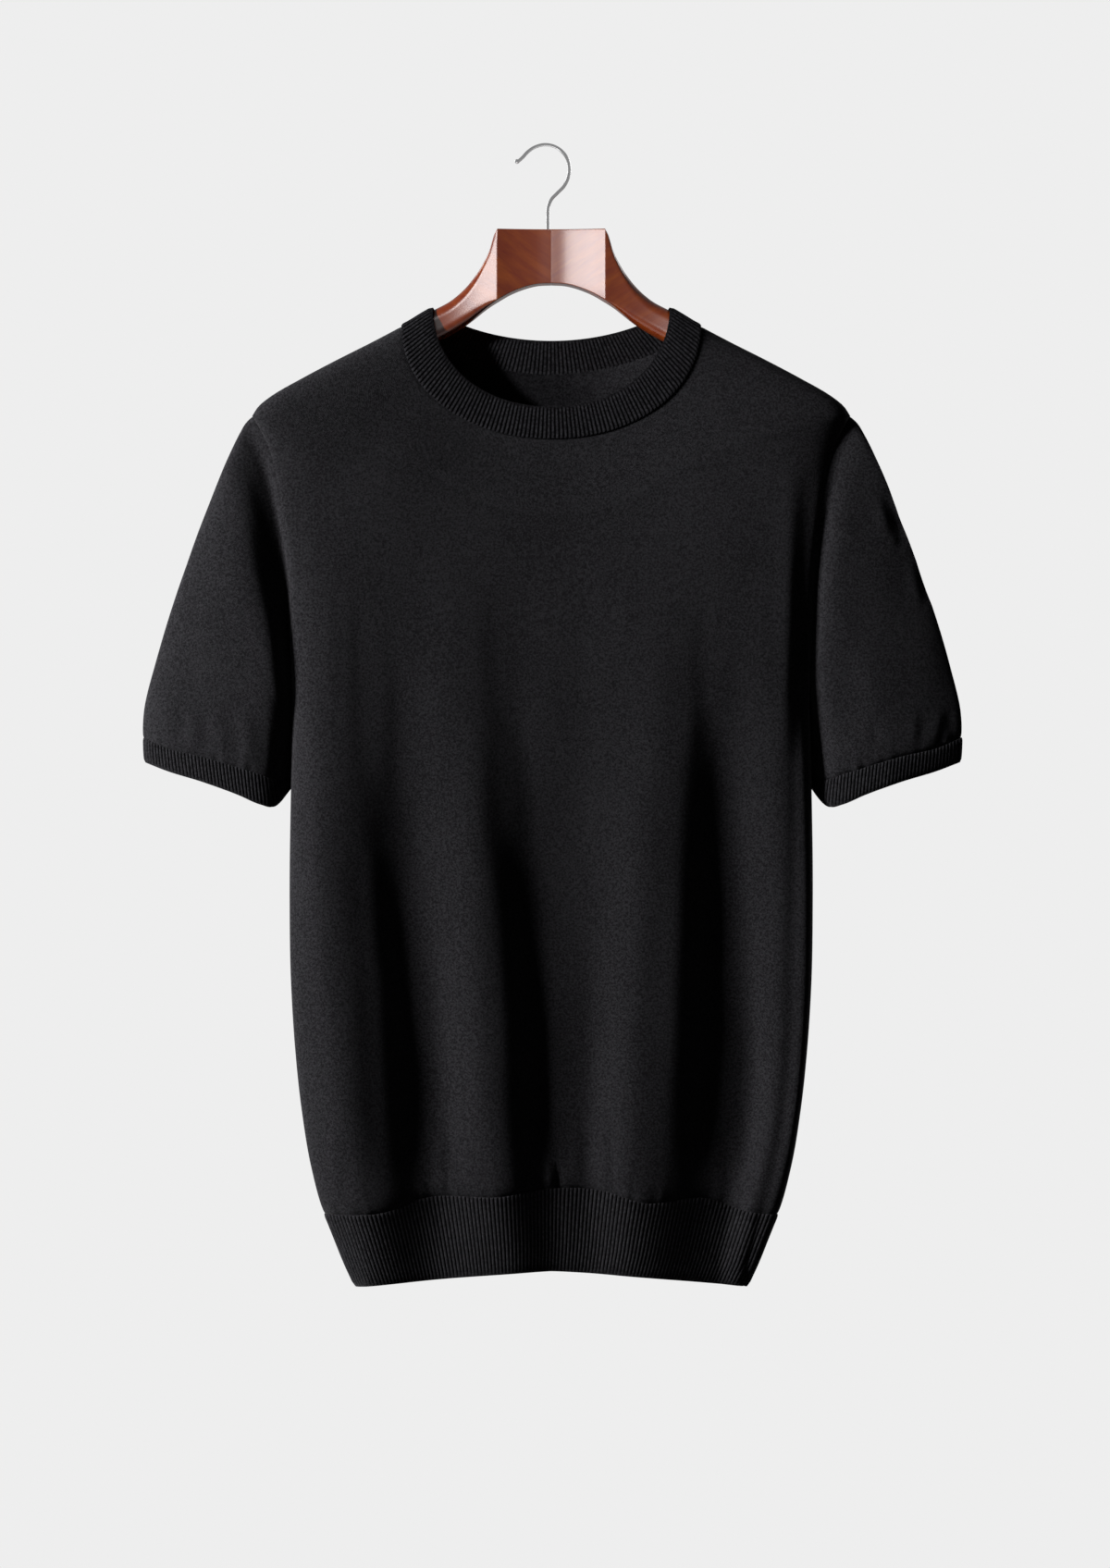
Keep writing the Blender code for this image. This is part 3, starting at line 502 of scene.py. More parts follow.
def fold_relief(x, drop, side):
    """How far the folds lift the cloth out of its section, eased from each crest to the next trough."""
    folds = FRONT_FOLDS if side == FRONT else BACK_FOLDS
    levels = np.stack([folds[name] for name in ("chest", "waist", "above_rib", "hem")])
    edge = edge_x(drop)
    lines = [-edge, *(smooth(drop, FOLD_LEVELS, level) for level in levels.T), edge]
    heights = [0.0, *folds["relief"], 0.0]
    relief = np.zeros(np.broadcast(x, drop).shape)
    for k in range(len(lines) - 1):
        t = (x - lines[k]) / (lines[k + 1] - lines[k])
        eased = heights[k] + (heights[k + 1] - heights[k]) * t * t * (3 - 2 * t)
        relief = np.where((t >= 0) & (t <= 1), eased, relief)
    return relief * np.clip(read(FOLD_STRENGTH, "share", drop), 0, None)


def body_y(x, drop, side):
    """Front to back place of the body's outer face."""
    depth = read(BODY_SECTIONS, "front" if side == FRONT else "back", drop)
    square = read(BODY_SECTIONS, "square", drop)
    seam_share = seam_half_depth(drop) / depth
    full_width = edge_x(drop) / (1 - seam_share**square) ** (1 / square)
    across = np.clip(np.abs(x) / full_width, 0, 1)
    section = depth * (1 - across**square) ** (1 / square)
    return side * (section + fold_relief(x, drop, side)) + sweep(x, drop)


def on_body(x, drop, side):
    return np.stack([x, body_y(x, drop, side), -drop], axis=1)


def body_line(side, drops_at, shares):
    """A line of the body from side to side, at the drops that a function gives for each place across."""
    across = np.sin(np.linspace(-math.pi / 2, math.pi / 2, FINE))
    drop = drops_at(across)
    return spaced(on_body(across * edge_x(drop), drop, side), shares)


def neck_line(curve):
    """A neckline's places across it, and their drops, from the wearer's right shoulder to the left."""
    half_width, top, fall, across_power, down_power = curve
    across = np.sin(math.pi / 2 * np.sin(np.linspace(-math.pi / 2, math.pi / 2, FINE)))
    return across * half_width, top + fall * (1 - np.abs(across) ** across_power) ** (1 / down_power)


def rib_top_drop(side):
    return lambda across: read(RIB_TOP[side], "drop", across)


def hem_drop(side):
    middle = HEM_MIDDLE_DROP[side]
    return lambda across: middle + (HEM_SIDE_DROP - middle) * np.abs(across) ** HEM_ARCH_POWER


def neck_seam_drop(side):
    """Drop of the neck seam, for places across the body that reach its shoulder line at each end."""
    x, drop = neck_line(NECK_SEAM[side])
    return lambda across: np.interp(across, x / edge_x(drop), drop)


# ---- creases ----


def crease_lift(grid, creases):
    """How far the small creases lift or sink a grid of points."""
    x, drop = grid[..., 0], -grid[..., 2]
    lift = np.zeros(x.shape)
    for x0, drop0, x1, drop1, bow, width, step, dip in zip(*creases.values()):
        run = math.hypot(x1 - x0, drop1 - drop0)
        along = np.clip(((x - x0) * (x1 - x0) + (drop - drop0) * (drop1 - drop0)) / run**2, 0, 1)
        across = ((x - x0) * (drop1 - drop0) - (drop - drop0) * (x1 - x0)) / run
        across = (across - 4 * bow * along * (1 - along)) / width
        stepped = np.exp(-3 * (across + 0.5) ** 2) - np.exp(-3 * (across - 0.5) ** 2)
        lift += np.sin(math.pi * along) ** 0.7 * (step * stepped - dip * np.exp(-3 * across**2))
    return lift


def waver(grid, phase):
    """Slight unevenness of hanging cloth, longer down it than across."""
    x, drop = grid[..., 0], -grid[..., 2]
    broad = np.sin(71 * x + 9 * drop + phase) * np.sin(23 * drop - 11 * x + 1.7 * phase)
    narrow = np.sin(133 * x - 31 * drop + 2.3 * phase) * np.sin(47 * drop + 29 * x + phase)
    return WAVER * (broad + 0.6 * narrow)


def gathers(along, away, phase):
    """Uneven puckers where cloth is gathered onto a rib, fading away from it."""
    ripple = np.sin(2 * math.pi * along / 0.0135 + phase) + 0.7 * np.sin(2 * math.pi * along / 0.0083 + 2 * phase)
    unevenness = 0.55 + 0.45 * np.sin(2 * math.pi * along / 0.071 + 3 * phase)
    puckers = GATHER_HEIGHT * ripple * unevenness * np.exp(-away / GATHER_REACH)
    blouse = BLOUSE_HEIGHT * (away / GATHER_REACH) * np.exp(1 - away / GATHER_REACH)
    return puckers + blouse


# ---- panels ----


def grid_normals(grid, closed, outward):
    """Unit normals of a grid of points, on the side that outward points to."""
    down = np.gradient(grid, axis=0)
    if closed:
        along = np.roll(grid, -1, axis=1) - np.roll(grid, 1, axis=1)
    else:
        along = np.gradient(grid, axis=1)
    normals = np.cross(down, along)
    normals /= np.linalg.norm(normals, axis=2, keepdims=True)
    return normals * np.sign((normals * outward).sum())


SIDES = {
    "first_row": (np.s_[0], np.s_[1]),
    "last_row": (np.s_[-1], np.s_[-2]),
    "first_column": (np.s_[:, 0], np.s_[:, 1]),
    "last_column": (np.s_[:, -1], np.s_[:, -2]),
}


class Panel:
    """One cut piece as a grid of outer points, with the sides that are sewn to other pieces."""

    def __init__(self, grid, outward, seams, closed=False, gap=SEAM_GAP):
        self.grid, self.seams, self.closed, self.gap = np.array(grid), seams, closed, gap
        self.normals = grid_normals(self.grid, closed, outward)
        steps = np.linalg.norm(np.diff(self.grid, axis=1), axis=2)
        self.along = np.pad(np.cumsum(steps, axis=1), ((0, 0), (1, 0)))
        steps = np.linalg.norm(np.diff(self.grid, axis=0), axis=2)
        self.down = np.pad(np.cumsum(steps, axis=0), ((1, 0), (0, 0)))
        self.away = {
            "first_row": self.down,
            "last_row": self.down[-1:] - self.down,
            "first_column": self.along,
            "last_column": self.along[:, -1:] - self.along,
        }
        self.lift = np.zeros(self.grid.shape[:2])

    def share_normals(self, others):
        """Leans the wall at each seam the same way as the wall it meets, where the two go on as one."""
        own = self.normals.copy()
        for side in self.seams:
            edge = SIDES[side][0]
            leaning = own[edge].copy()
            for other, tree, theirs in others:
                if other is self:
                    continue
                for k, point in enumerate(self.grid[edge]):
                    _, nearest, distance = tree.find(point)
                    if distance < SEAM_REACH and own[edge][k] @ theirs[nearest] > 0:
                        leaning[k] += theirs[nearest]
            leaning = leaning[None] if side.endswith("row") else leaning[:, None]
            share = np.exp(-((self.away[side] / SEAM_REACH) ** 2))[..., None]
            leaning = leaning / np.linalg.norm(leaning, axis=-1, keepdims=True)
            self.normals = self.normals * (1 - share) + leaning * share
        self.normals /= np.linalg.norm(self.normals, axis=2, keepdims=True)

    def sewn_points(self):
        points = np.concatenate([self.grid[SIDES[side][0]] for side in self.seams])
        normals = np.concatenate([self.normals[SIDES[side][0]] for side in self.seams])
        return points, normals

    def drawn_in(self):
        """The grid with its sewn edges drawn in by half the seam's gap."""
        grid = self.grid.copy()
        for side in self.seams:
            edge, inner = SIDES[side]
            step = self.grid[inner] - self.grid[edge]
            grid[edge] += step / np.linalg.norm(step, axis=1, keepdims=True) * self.gap / 2
        return grid

    def groove(self):
        """How far the cloth turns in towards its seams."""
        nearest = np.min([np.broadcast_to(self.away[side], self.lift.shape) for side in self.seams], axis=0)
        return -GROOVE_DEPTH * np.exp(-((nearest / GROOVE_WIDTH) ** 2))

    def area(self):
        edge = np.diff(self.grid, axis=1)[:-1]
        side = np.diff(self.grid, axis=0)[:, :-1]
        return float(np.linalg.norm(np.cross(edge, side), axis=2).sum())


def share_seam_normals(panels):
    trees = []
    for panel in panels:
        points, normals = panel.sewn_points()
        tree = kdtree.KDTree(len(points))
        for k, point in enumerate(points):
            tree.insert(point, k)
        tree.balance()
        trees.append((panel, tree, normals))
    for panel in panels:
        panel.share_normals(trees)


def body_panel(side, step):
    """A front or back, from its rib to the neck seam, with rows at the underarm and the shoulder point."""
    bottom, top = rib_top_drop(side), neck_seam_drop(side)
    low, high = RIB_TOP[side]["drop"][-1], SHOULDER_LINE["drop"][1]
    to_underarm = low + (UNDERARM_DROP - low) * divided(low - UNDERARM_DROP, step, True, False)
    to_shoulder = UNDERARM_DROP + (SHOULDER_DROP - UNDERARM_DROP) * divided(0.2055, step, False, False)
    to_neck = SHOULDER_DROP + (high - SHOULDER_DROP) * divided(SHOULDER_DROP - high, step, False, True)
    drops = np.concatenate([to_underarm, to_shoulder[1:], to_neck[1:]])
    columns = divided(0.400, step, True, True)
    rows = []
    for share in (low - drops) / (low - high):
        line = lambda across: bottom(across) + (top(across) - bottom(across)) * share
        rows.append(body_line(side, line, columns))
    panel = Panel(rows, (0, side, 0), ("first_row", "last_row", "first_column", "last_column"))
    drop = -panel.grid[..., 2]
    loose = np.clip((drop - 0.25) / 0.15, 0, 1)
    by_edge = np.minimum(panel.away["first_column"], panel.away["last_column"])
    loose = loose * np.clip(by_edge / 0.030, 0, 1)
    panel.lift += waver(panel.grid, side + 2.0) * loose
    panel.lift += crease_lift(panel.grid, BODY_CREASES[side]) * np.clip(by_edge / 0.012, 0, 1)
    across_rib = panel.along[:1] + 0 * panel.along
    panel.lift += gathers(across_rib, panel.down, side + 0.6) * np.clip(by_edge / 0.012, 0, 1)
    panel.lift += panel.groove()
    return panel


def sleeve_section(share, across, turns, hand):
    """Front to back place of the sleeve's section, all round, with its under line carried back."""
    outer_back, front, back, outer_square, inner_square = (
        float(read(SLEEVE_SECTIONS[hand], name, share)) for name in list(SLEEVE_SECTIONS[hand])[1:]
    )
    middle = outer_back * (1 - across) + float(read(UNDER_LINE, "y", share)) * across**UNDER_TURN_POWER
    square = np.where((across < 0.5) & (turns <= math.pi), outer_square, inner_square)
    bulge = np.clip(1 - np.abs(np.cos(turns)) ** square, 0, 1) ** (1 / square)
    return middle + np.where(turns <= math.pi, -front, back) * bulge


def sleeve_ring(share, turns, hand):
    """A ring of the sleeve, a share of the way to the cuff, turned from its outer line round the front."""
    across = (1 - np.cos(turns)) / 2
    outer_x, outer_drop = (float(read(OUTER_LINE, name, share)) for name in ("x", "drop"))
    under_x, under_drop = (float(read(UNDER_LINE, name, share)) for name in ("x", "drop"))
    x = outer_x + (under_x - outer_x) * across
    drop = outer_drop + (under_drop - outer_drop) * across
    armhole_drop = SHOULDER_DROP + (UNDERARM_DROP - SHOULDER_DROP) * across
    armhole_x = edge_x(armhole_drop)
    chord_x = armhole_x[0] + (float(edge_x(UNDERARM_DROP)) - armhole_x[0]) * across
    seam, seam_ends = read(CUFF_LINES, "seam", across), read(CUFF_LINES, "seam", np.array([0.0, 1.0]))
    chord_seam = seam_ends[0] + (seam_ends[1] - seam_ends[0]) * across
    x = x + (1 - share) * (armhole_x - chord_x)
    drop = drop + share * (seam - chord_seam)
    y = sweep(x, drop) + sleeve_section(share, across, turns, hand)
    return np.stack([hand * x, y, -drop], axis=1)


def from_middle(rows):
    """Which way is outward on a tube given by its rings."""
    return np.array(rows) - np.mean(rows, axis=1, keepdims=True)


def sleeve_panel(hand):
    turns = np.linspace(0, 2 * math.pi, FINE)
    columns = 2 * round(0.185 / SLEEVE_STEP)
    shares = divided(0.240, SLEEVE_STEP, True, True)
    rows = [evenly_spaced(sleeve_ring(share, turns, hand), columns + 1)[:-1] for share in shares]
    panel = Panel(rows, from_middle(rows), ("first_row", "last_row"), closed=True)
    x, y = panel.grid[..., 0], panel.grid[..., 1]
    clear = np.clip((np.abs(x) - 0.190) / 0.012, 0, 1) * np.clip(panel.away["first_row"] / 0.030, 0, 1)
    panel.lift += waver(panel.grid, hand + 4.0) * clear
    in_front = y < np.mean(y, axis=1, keepdims=True)
    panel.lift += crease_lift(panel.grid, SLEEVE_CREASES[hand]) * in_front
    panel.lift += gathers(panel.along[-1:], panel.away["last_row"], hand + 1.4) * clear
    panel.lift += panel.groove()
    return panel


def rib_count(line, pitch):
    return round(run_of(line)[-1] / pitch)


def hem_panel(side):
    ribs = rib_count(body_line(side, hem_drop(side), np.linspace(0, 1, FINE)), HEM_RIBS["pitch"])
    columns = ribs * RIB_COLUMNS + 1
    bottom, edge = rib_top_drop(side), hem_drop(side)
    rows = []
    for share in divided(0.052, RIB_ROW_STEP * 1.5, True, False):
        line = lambda across: bottom(across) + (edge(across) - bottom(across)) * share
        rows.append(body_line(side, line, np.linspace(0, 1, columns)))
    panel = Panel(rows, (0, side, 0), ("first_row", "first_column", "last_column"))
    return panel, ribs


def collar_panel():
    """The collar: one ring of rib, from the neck seam of both body panels to its free edge."""
    counts = {}
    for side in (FRONT, BACK):
        seam_x, seam_drop = neck_line(NECK_SEAM[side])
        counts[side] = rib_count(on_body(seam_x, seam_drop, side), COLLAR_RIBS["pitch"])
    rows = []
    for share in divided(0.023, RIB_ROW_STEP, True, False):
        ring = []
        for side in (FRONT, BACK):
            seam_x, seam_drop = neck_line(NECK_SEAM[side])
            rim_x, rim_drop = neck_line(NECK_EDGE[side])
            x, drop = seam_x + (rim_x - seam_x) * share, seam_drop + (rim_drop - seam_drop) * share
            line = evenly_spaced(on_body(x, drop, side), counts[side] * RIB_COLUMNS + 1)
            ring.append(line[::-side][:-1])
        rows.append(np.concatenate(ring))
    panel = Panel(rows, (0, 0, 1), ("first_row",), closed=True)
    return panel, counts[FRONT] + counts[BACK]


def cuff_panel(sleeve, hand):
    seam = np.concatenate([sleeve.grid[-1], sleeve.grid[-1][:1]])
    turns = np.linspace(0, 2 * math.pi, FINE)
    across = (1 - np.cos(turns)) / 2
    x = CUFF_EDGE_OUTER_X + (CUFF_EDGE_UNDER_X - CUFF_EDGE_OUTER_X) * across
    drop = read(CUFF_LINES, "edge", across)
    y = sweep(x, drop) + CUFF_EDGE_SHARE * sleeve_section(1, across, turns, hand)
    ribs = rib_count(seam, CUFF_RIBS["pitch"])
    first, last = (
        evenly_spaced(line, ribs * RIB_COLUMNS + 1)[:-1]
        for line in (seam, np.stack([hand * x, y, -drop], axis=1))
    )
    rows = [first + (last - first) * share for share in divided(0.018, RIB_ROW_STEP, True, False)]
    return Panel(rows, from_middle(rows), ("first_row",), closed=True), ribs


# ---- meshes ----


def loop_faces(rows, columns, closed):
    """Quads of a grid whose last row joins its first, and whose last column may join its first."""
    row = np.arange(rows)[:, None]
    column = np.arange(columns if closed else columns - 1)[None]
    next_row, next_column = (row + 1) % rows, (column + 1) % columns
    corners = [(row, column), (row, next_column), (next_row, next_column), (next_row, column)]
    shape = (rows, column.size)
    return np.stack([np.broadcast_to(a * columns + b, shape).ravel() for a, b in corners], axis=1)


def add_mesh(name, points, quads, others=()):
    """A mesh object from points, quads and a few other faces, turned to face outwards."""
    points = np.asarray(points, float).reshape(-1, 3)
    faces = [*quads.tolist(), *others]
    first, second, third, fourth = (points[quads[:, k]] for k in range(4))
    volume = (first * np.cross(second, third)).sum() + (first * np.cross(third, fourth)).sum()
    if volume < 0:
        faces = [face[::-1] for face in faces]
    mesh = bpy.data.meshes.new(name)
    mesh.from_pydata((points + (CENTRE_X, 0, 0)).tolist(), [], faces)
    piece = bpy.data.objects.new(name, mesh)
    bpy.context.scene.collection.objects.link(piece)
    return piece


def give_values(piece, name, kind, values):
    """Stores a value for each of the piece's points."""
    key = "vector" if kind == "FLOAT_VECTOR" else "value"
    layer = piece.data.attributes.new(name, kind, "POINT")
    layer.data.foreach_set(key, np.ascontiguousarray(values, np.float32).ravel())


def cap_faces(outer_rows, rim_rows, columns):
    """Faces that close the two ends of an open wall."""
    rows = 2 * outer_rows + rim_rows
    faces = []
    for end in (0, columns - 1):
        loop = [row * columns + end for row in range(rows)]
        cap = [(loop[k], loop[-k - 1], loop[-k - 2], loop[k + 1]) for k in range(outer_rows - 1)]
        if rim_rows:
            cap.append(tuple(loop[outer_rows - 1 : outer_rows + rim_rows + 1][::-1]))
        faces += cap if end == 0 else [face[::-1] for face in cap]
    return faces


def cloth_piece(name, panel, finish):
    """A plain knitted panel as a closed wall."""
    grid = panel.drawn_in()
    outer = grid + panel.normals * panel.lift[..., None]
    inner = grid + panel.normals * (np.maximum(panel.lift, 0) - CLOTH)[..., None]
    rows = np.concatenate([outer, inner[::-1]])
    count, columns = rows.shape[:2]
    quads = loop_faces(count, columns, panel.closed)
    caps = [] if panel.closed else cap_faces(len(grid), 0, columns)
    piece = add_mesh(name, rows, quads, caps)
    wale = np.concatenate([panel.along, panel.along[::-1]])
    course = np.concatenate([panel.down, panel.down[::-1]])
    give_values(piece, "stitch_place", "FLOAT_VECTOR", np.stack([wale, course, 0 * wale], axis=2))
    piece.data.materials.append(finish)
    piece.data.shade_smooth()
    piece.data.set_sharp_from_angle(angle=math.radians(60))
    return piece


def rib_piece(name, panel, ribs, sizes, finish):
    """A band of rib as a closed wall, rounded over its free edge, with its ribs raised on both faces."""
    grid = panel.drawn_in()
    groove = panel.groove()
    from_edge = panel.away["last_row"]
    crown = 0.0004 * np.sin(math.pi * np.clip(panel.down / panel.down[-1:], 0, 1))
    outer = grid + panel.normals * (0.5 * groove + crown)[..., None]
    inner = grid - panel.normals * (CLOTH - sizes["inside"])
    way = grid[-1] - grid[-2]
    way /= np.linalg.norm(way, axis=1, keepdims=True)
    middle, half = (outer[-1] + inner[-1]) / 2, (outer[-1] - inner[-1]) / 2
    radius = np.linalg.norm(half, axis=1, keepdims=True)
    turns = np.linspace(0, math.pi, RIM_STEPS + 2)[1:-1]
    rim = np.array([middle + half * math.cos(turn) + way * radius * math.sin(turn) for turn in turns])
    rim_ways = np.array([half * math.cos(turn) + way * radius * math.sin(turn) for turn in turns])
    rim_ways /= np.linalg.norm(rim_ways, axis=2, keepdims=True)
    rows = np.concatenate([outer, rim, inner[::-1]])
    count, columns = rows.shape[:2]
    quads = loop_faces(count, columns, panel.closed)
    caps = [] if panel.closed else cap_faces(len(grid), len(rim), columns)
    piece = add_mesh(name, rows, quads, caps)
    place = np.broadcast_to(np.arange(columns) / RIB_COLUMNS, panel.along.shape)
    share = np.clip(from_edge / sizes["plain_edge"], 0, 1)
    share = share * share * (3 - 2 * share)
    none = np.zeros((len(rim), columns))
    give_values(piece, "rib_place", "FLOAT", np.concatenate([place, none, place[::-1] + 0.5]))
    give_values(piece, "rib_share", "FLOAT", np.concatenate([share, none, share[::-1]]))
    inside = np.concatenate([0 * share, none, 0 * share + 1])
    give_values(piece, "rib_inside", "FLOAT", inside)
    ways = np.concatenate([panel.normals, rim_ways, -panel.normals[::-1]])
    give_values(piece, "rib_way", "FLOAT_VECTOR", ways)
    away = panel.away["first_row"]
    give_values(piece, "from_seam", "FLOAT", np.concatenate([away, none + 1, away[::-1]]))
    wale = np.concatenate([panel.along, none + panel.along[-1], panel.along[::-1]])
    course = np.concatenate([panel.down, none + panel.down[-1], panel.down[::-1]])
    give_values(piece, "stitch_place", "FLOAT_VECTOR", np.stack([wale, course, 0 * wale], axis=2))
    raise_ribs(piece, sizes, finish)
    piece.data.shade_smooth()
    piece.data.set_sharp_from_angle(angle=math.radians(80))
    return piece


# ---- ribs by Geometry Nodes ----


def rib_tree():
    """Raises the ribs of a band: rounded lengths with narrow valleys, and a bead where each meets its seam."""
    tree = bpy.data.node_groups.new("raised_ribs", "GeometryNodeTree")
    new_socket = tree.interface.new_socket
    new_socket("Geometry", in_out="INPUT", socket_type="NodeSocketGeometry")
    for name in ("Height", "Inside Height", "Fullness", "Bead Height", "Bead Reach"):
        new_socket(name, in_out="INPUT", socket_type="NodeSocketFloat")
    new_socket("Finish", in_out="INPUT", socket_type="NodeSocketMaterial")
    new_socket("Geometry", in_out="OUTPUT", socket_type="NodeSocketGeometry")
    nodes, links = tree.nodes, tree.links
    given = nodes.new("NodeGroupInput")
    result = nodes.new("NodeGroupOutput")

    def stored(name, kind="FLOAT"):
        node = nodes.new("GeometryNodeInputNamedAttribute")
        node.data_type = kind
        node.inputs["Name"].default_value = name
        return node.outputs["Attribute"]

    def maths(operation, *values):
        node = nodes.new("ShaderNodeMath")
        node.operation = operation
        for socket, value in zip(node.inputs, values):
            if isinstance(value, (int, float)):
                socket.default_value = value
            else:
                links.new(value, socket)
        return node.outputs[0]

    phase = maths("FRACT", stored("rib_place"))
    rounded = maths("POWER", maths("SINE", maths("MULTIPLY", phase, math.pi)), given.outputs["Fullness"])
    inside = stored("rib_inside")
    outside = maths("SUBTRACT", 1.0, inside)
    height = maths(
        "ADD",
        maths("MULTIPLY", outside, given.outputs["Height"]),
        maths("MULTIPLY", inside, given.outputs["Inside Height"]),
    )
    near = maths("DIVIDE", stored("from_seam"), given.outputs["Bead Reach"])
    bead_shape = maths("MULTIPLY", near, maths("EXPONENT", maths("SUBTRACT", 1.0, near)))
    bead = maths("MULTIPLY", maths("MULTIPLY", bead_shape, given.outputs["Bead Height"]), outside)
    lift = maths("MULTIPLY", maths("MULTIPLY", maths("ADD", height, bead), rounded), stored("rib_share"))
    offset = nodes.new("ShaderNodeVectorMath")
    offset.operation = "SCALE"
    links.new(stored("rib_way", "FLOAT_VECTOR"), offset.inputs[0])
    links.new(lift, offset.inputs["Scale"])
    move = nodes.new("GeometryNodeSetPosition")
    links.new(given.outputs["Geometry"], move.inputs["Geometry"])
    links.new(offset.outputs[0], move.inputs["Offset"])
    realize = nodes.new("GeometryNodeRealizeInstances")
    links.new(move.outputs[0], realize.inputs[0])
    finish = nodes.new("GeometryNodeSetMaterial")
    links.new(realize.outputs[0], finish.inputs["Geometry"])
    links.new(given.outputs["Finish"], finish.inputs["Material"])
    links.new(finish.outputs[0], result.inputs["Geometry"])
    return tree


RIB_TREE = rib_tree()


def raise_ribs(piece, sizes, finish):
    """Runs the ribs' tree on a band and keeps what it makes as a plain mesh."""
    values = {
        "Height": sizes["height"],
        "Inside Height": sizes["inside"],
        "Fullness": sizes["fullness"],
        "Bead Height": sizes["link"],
        "Bead Reach": LINK_REACH,
        "Finish": finish,
    }
    modifier = piece.modifiers.new("ribs", "NODES")
    modifier.node_group = RIB_TREE
    for item in RIB_TREE.interface.items_tree:
        if item.in_out == "INPUT" and item.name in values:
            modifier[item.identifier] = values[item.name]
    graph = bpy.context.evaluated_depsgraph_get()
    made = bpy.data.meshes.new_from_object(piece.evaluated_get(graph))
    plain = piece.data
    piece.modifiers.clear()
    piece.data = made
    made.name = plain.name
    bpy.data.meshes.remove(plain)
    for name in ("rib_inside", "rib_way"):
        made.attributes.remove(made.attributes[name])


# ---- finishes ----


class Graph:
    """A small hand for wiring the nodes of a material or a shader group."""

    def __init__(self, tree):
        self.tree = tree

    def node(self, kind, settings=None, **inputs):
        node = self.tree.nodes.new(kind)
        for name, value in (settings or {}).items():
            setattr(node, name, value)
        for name, value in inputs.items():
            self.put(node.inputs[name.replace("_", " ")], value)
        return node

    def put(self, socket, value):
        if isinstance(value, bpy.types.NodeSocket):
            self.tree.links.new(value, socket)
        else:
            socket.default_value = value

    def maths(self, operation, *values):
        node = self.tree.nodes.new("ShaderNodeMath")
        node.operation = operation
        for socket, value in zip(node.inputs, values):
            self.put(socket, value)
        return node.outputs[0]

    def mixed(self, share, first, second):
        node = self.tree.nodes.new("ShaderNodeMix")
        node.data_type = "RGBA"
        self.put(node.inputs[0], share)
        self.put(node.inputs[6], first)
        self.put(node.inputs[7], second)
        return node.outputs[2]

    def noise(self, vector, scale, detail=2.0, roughness=0.5):
        node = self.node("ShaderNodeTexNoise", Vector=vector, Scale=scale, Detail=detail, Roughness=roughness)
        return node.outputs["Fac"]

    def mapped(self, vector, scale=(1, 1, 1), turn=(0, 0, 0)):
        return self.node("ShaderNodeMapping", Vector=vector, Scale=scale, Rotation=turn).outputs[0]


def shader_group(name, inputs, outputs):
    """An empty shader group with these sockets, and its graph, its inputs and its output node."""
    tree = bpy.data.node_groups.new(name, "ShaderNodeTree")
    kinds = {"float": "NodeSocketFloat", "vector": "NodeSocketVector", "colour": "NodeSocketColor"}
    for in_out, sockets in (("INPUT", inputs), ("OUTPUT", outputs)):
        for socket, (kind, default) in sockets.items():
            made = tree.interface.new_socket(socket, in_out=in_out, socket_type=kinds[kind])
            if default is not None:
                made.default_value = default
    graph = Graph(tree)
    given = tree.nodes.new("NodeGroupInput").outputs
    result = tree.nodes.new("NodeGroupOutput")
    return graph, given, result


def stitch_group():
    """Rows of knitted loops: a V of two legs in each wale, and the valleys between wales."""
    graph, given, result = shader_group(
        "knit_stitches",
        {"Place": ("vector", None), "Wale": ("float", 0.0012), "Course": ("float", 0.0009)},
        {"Height": ("float", None)},
    )
    place = graph.node("ShaderNodeSeparateXYZ", Vector=given["Place"]).outputs
    across = graph.maths("FRACT", graph.maths("DIVIDE", place["X"], given["Wale"]))
    from_middle_line = graph.maths("ABSOLUTE", graph.maths("SUBTRACT", across, 0.5))
    row = graph.maths("DIVIDE", place["Y"], given["Course"])
    leg = graph.maths("FRACT", graph.maths("ADD", row, graph.maths("MULTIPLY", from_middle_line, 1.7)))
    bulge = graph.maths("SINE", graph.maths("MULTIPLY", leg, math.pi))
    valley = graph.maths("SINE", graph.maths("MULTIPLY", across, 2 * math.pi))
    valley = graph.maths("POWER", graph.maths("ABSOLUTE", valley), 0.6)
    graph.put(result.inputs["Height"], graph.maths("MULTIPLY", bulge, valley))
    return graph.tree


def heather_group():
    """Yarn that varies from fibre to fibre: a shade, a tint and the fuzz that stands on it."""
    graph, given, result = shader_group(
        "heathered_yarn",
        {"Vector": ("vector", None), "Amount": ("float", 0.5)},
        {"Shade": ("float", None), "Tint": ("float", None), "Fuzz": ("float", None)},
    )
    fine = graph.noise(given["Vector"], 900.0, 3.0, 0.65)
    middle = graph.noise(given["Vector"], 620.0, 2.0, 0.6)
    broad = graph.noise(graph.mapped(given["Vector"], (1, 1, 0.5)), 26.0, 2.0, 0.5)
    mix = graph.maths("ADD", graph.maths("MULTIPLY", fine, 0.45), graph.maths("MULTIPLY", middle, 0.47))
    mix = graph.maths("ADD", mix, graph.maths("MULTIPLY", broad, 0.08))
    spread = graph.maths("MULTIPLY", graph.maths("SUBTRACT", mix, 0.5), given["Amount"])
    graph.put(result.inputs["Shade"], graph.maths("ADD", spread, 0.5))
    graph.put(result.inputs["Tint"], graph.noise(given["Vector"], 450.0, 1.0, 0.5))
    graph.put(result.inputs["Fuzz"], graph.noise(given["Vector"], 1500.0, 4.0, 0.7))
    return graph.tree


def new_material(name):
    made = bpy.data.materials.new(name)
    made.use_nodes = True
    graph = Graph(made.node_tree)
    shader = made.node_tree.nodes["Principled BSDF"]
    return made, graph, shader


STITCHES = stitch_group()
HEATHER = heather_group()


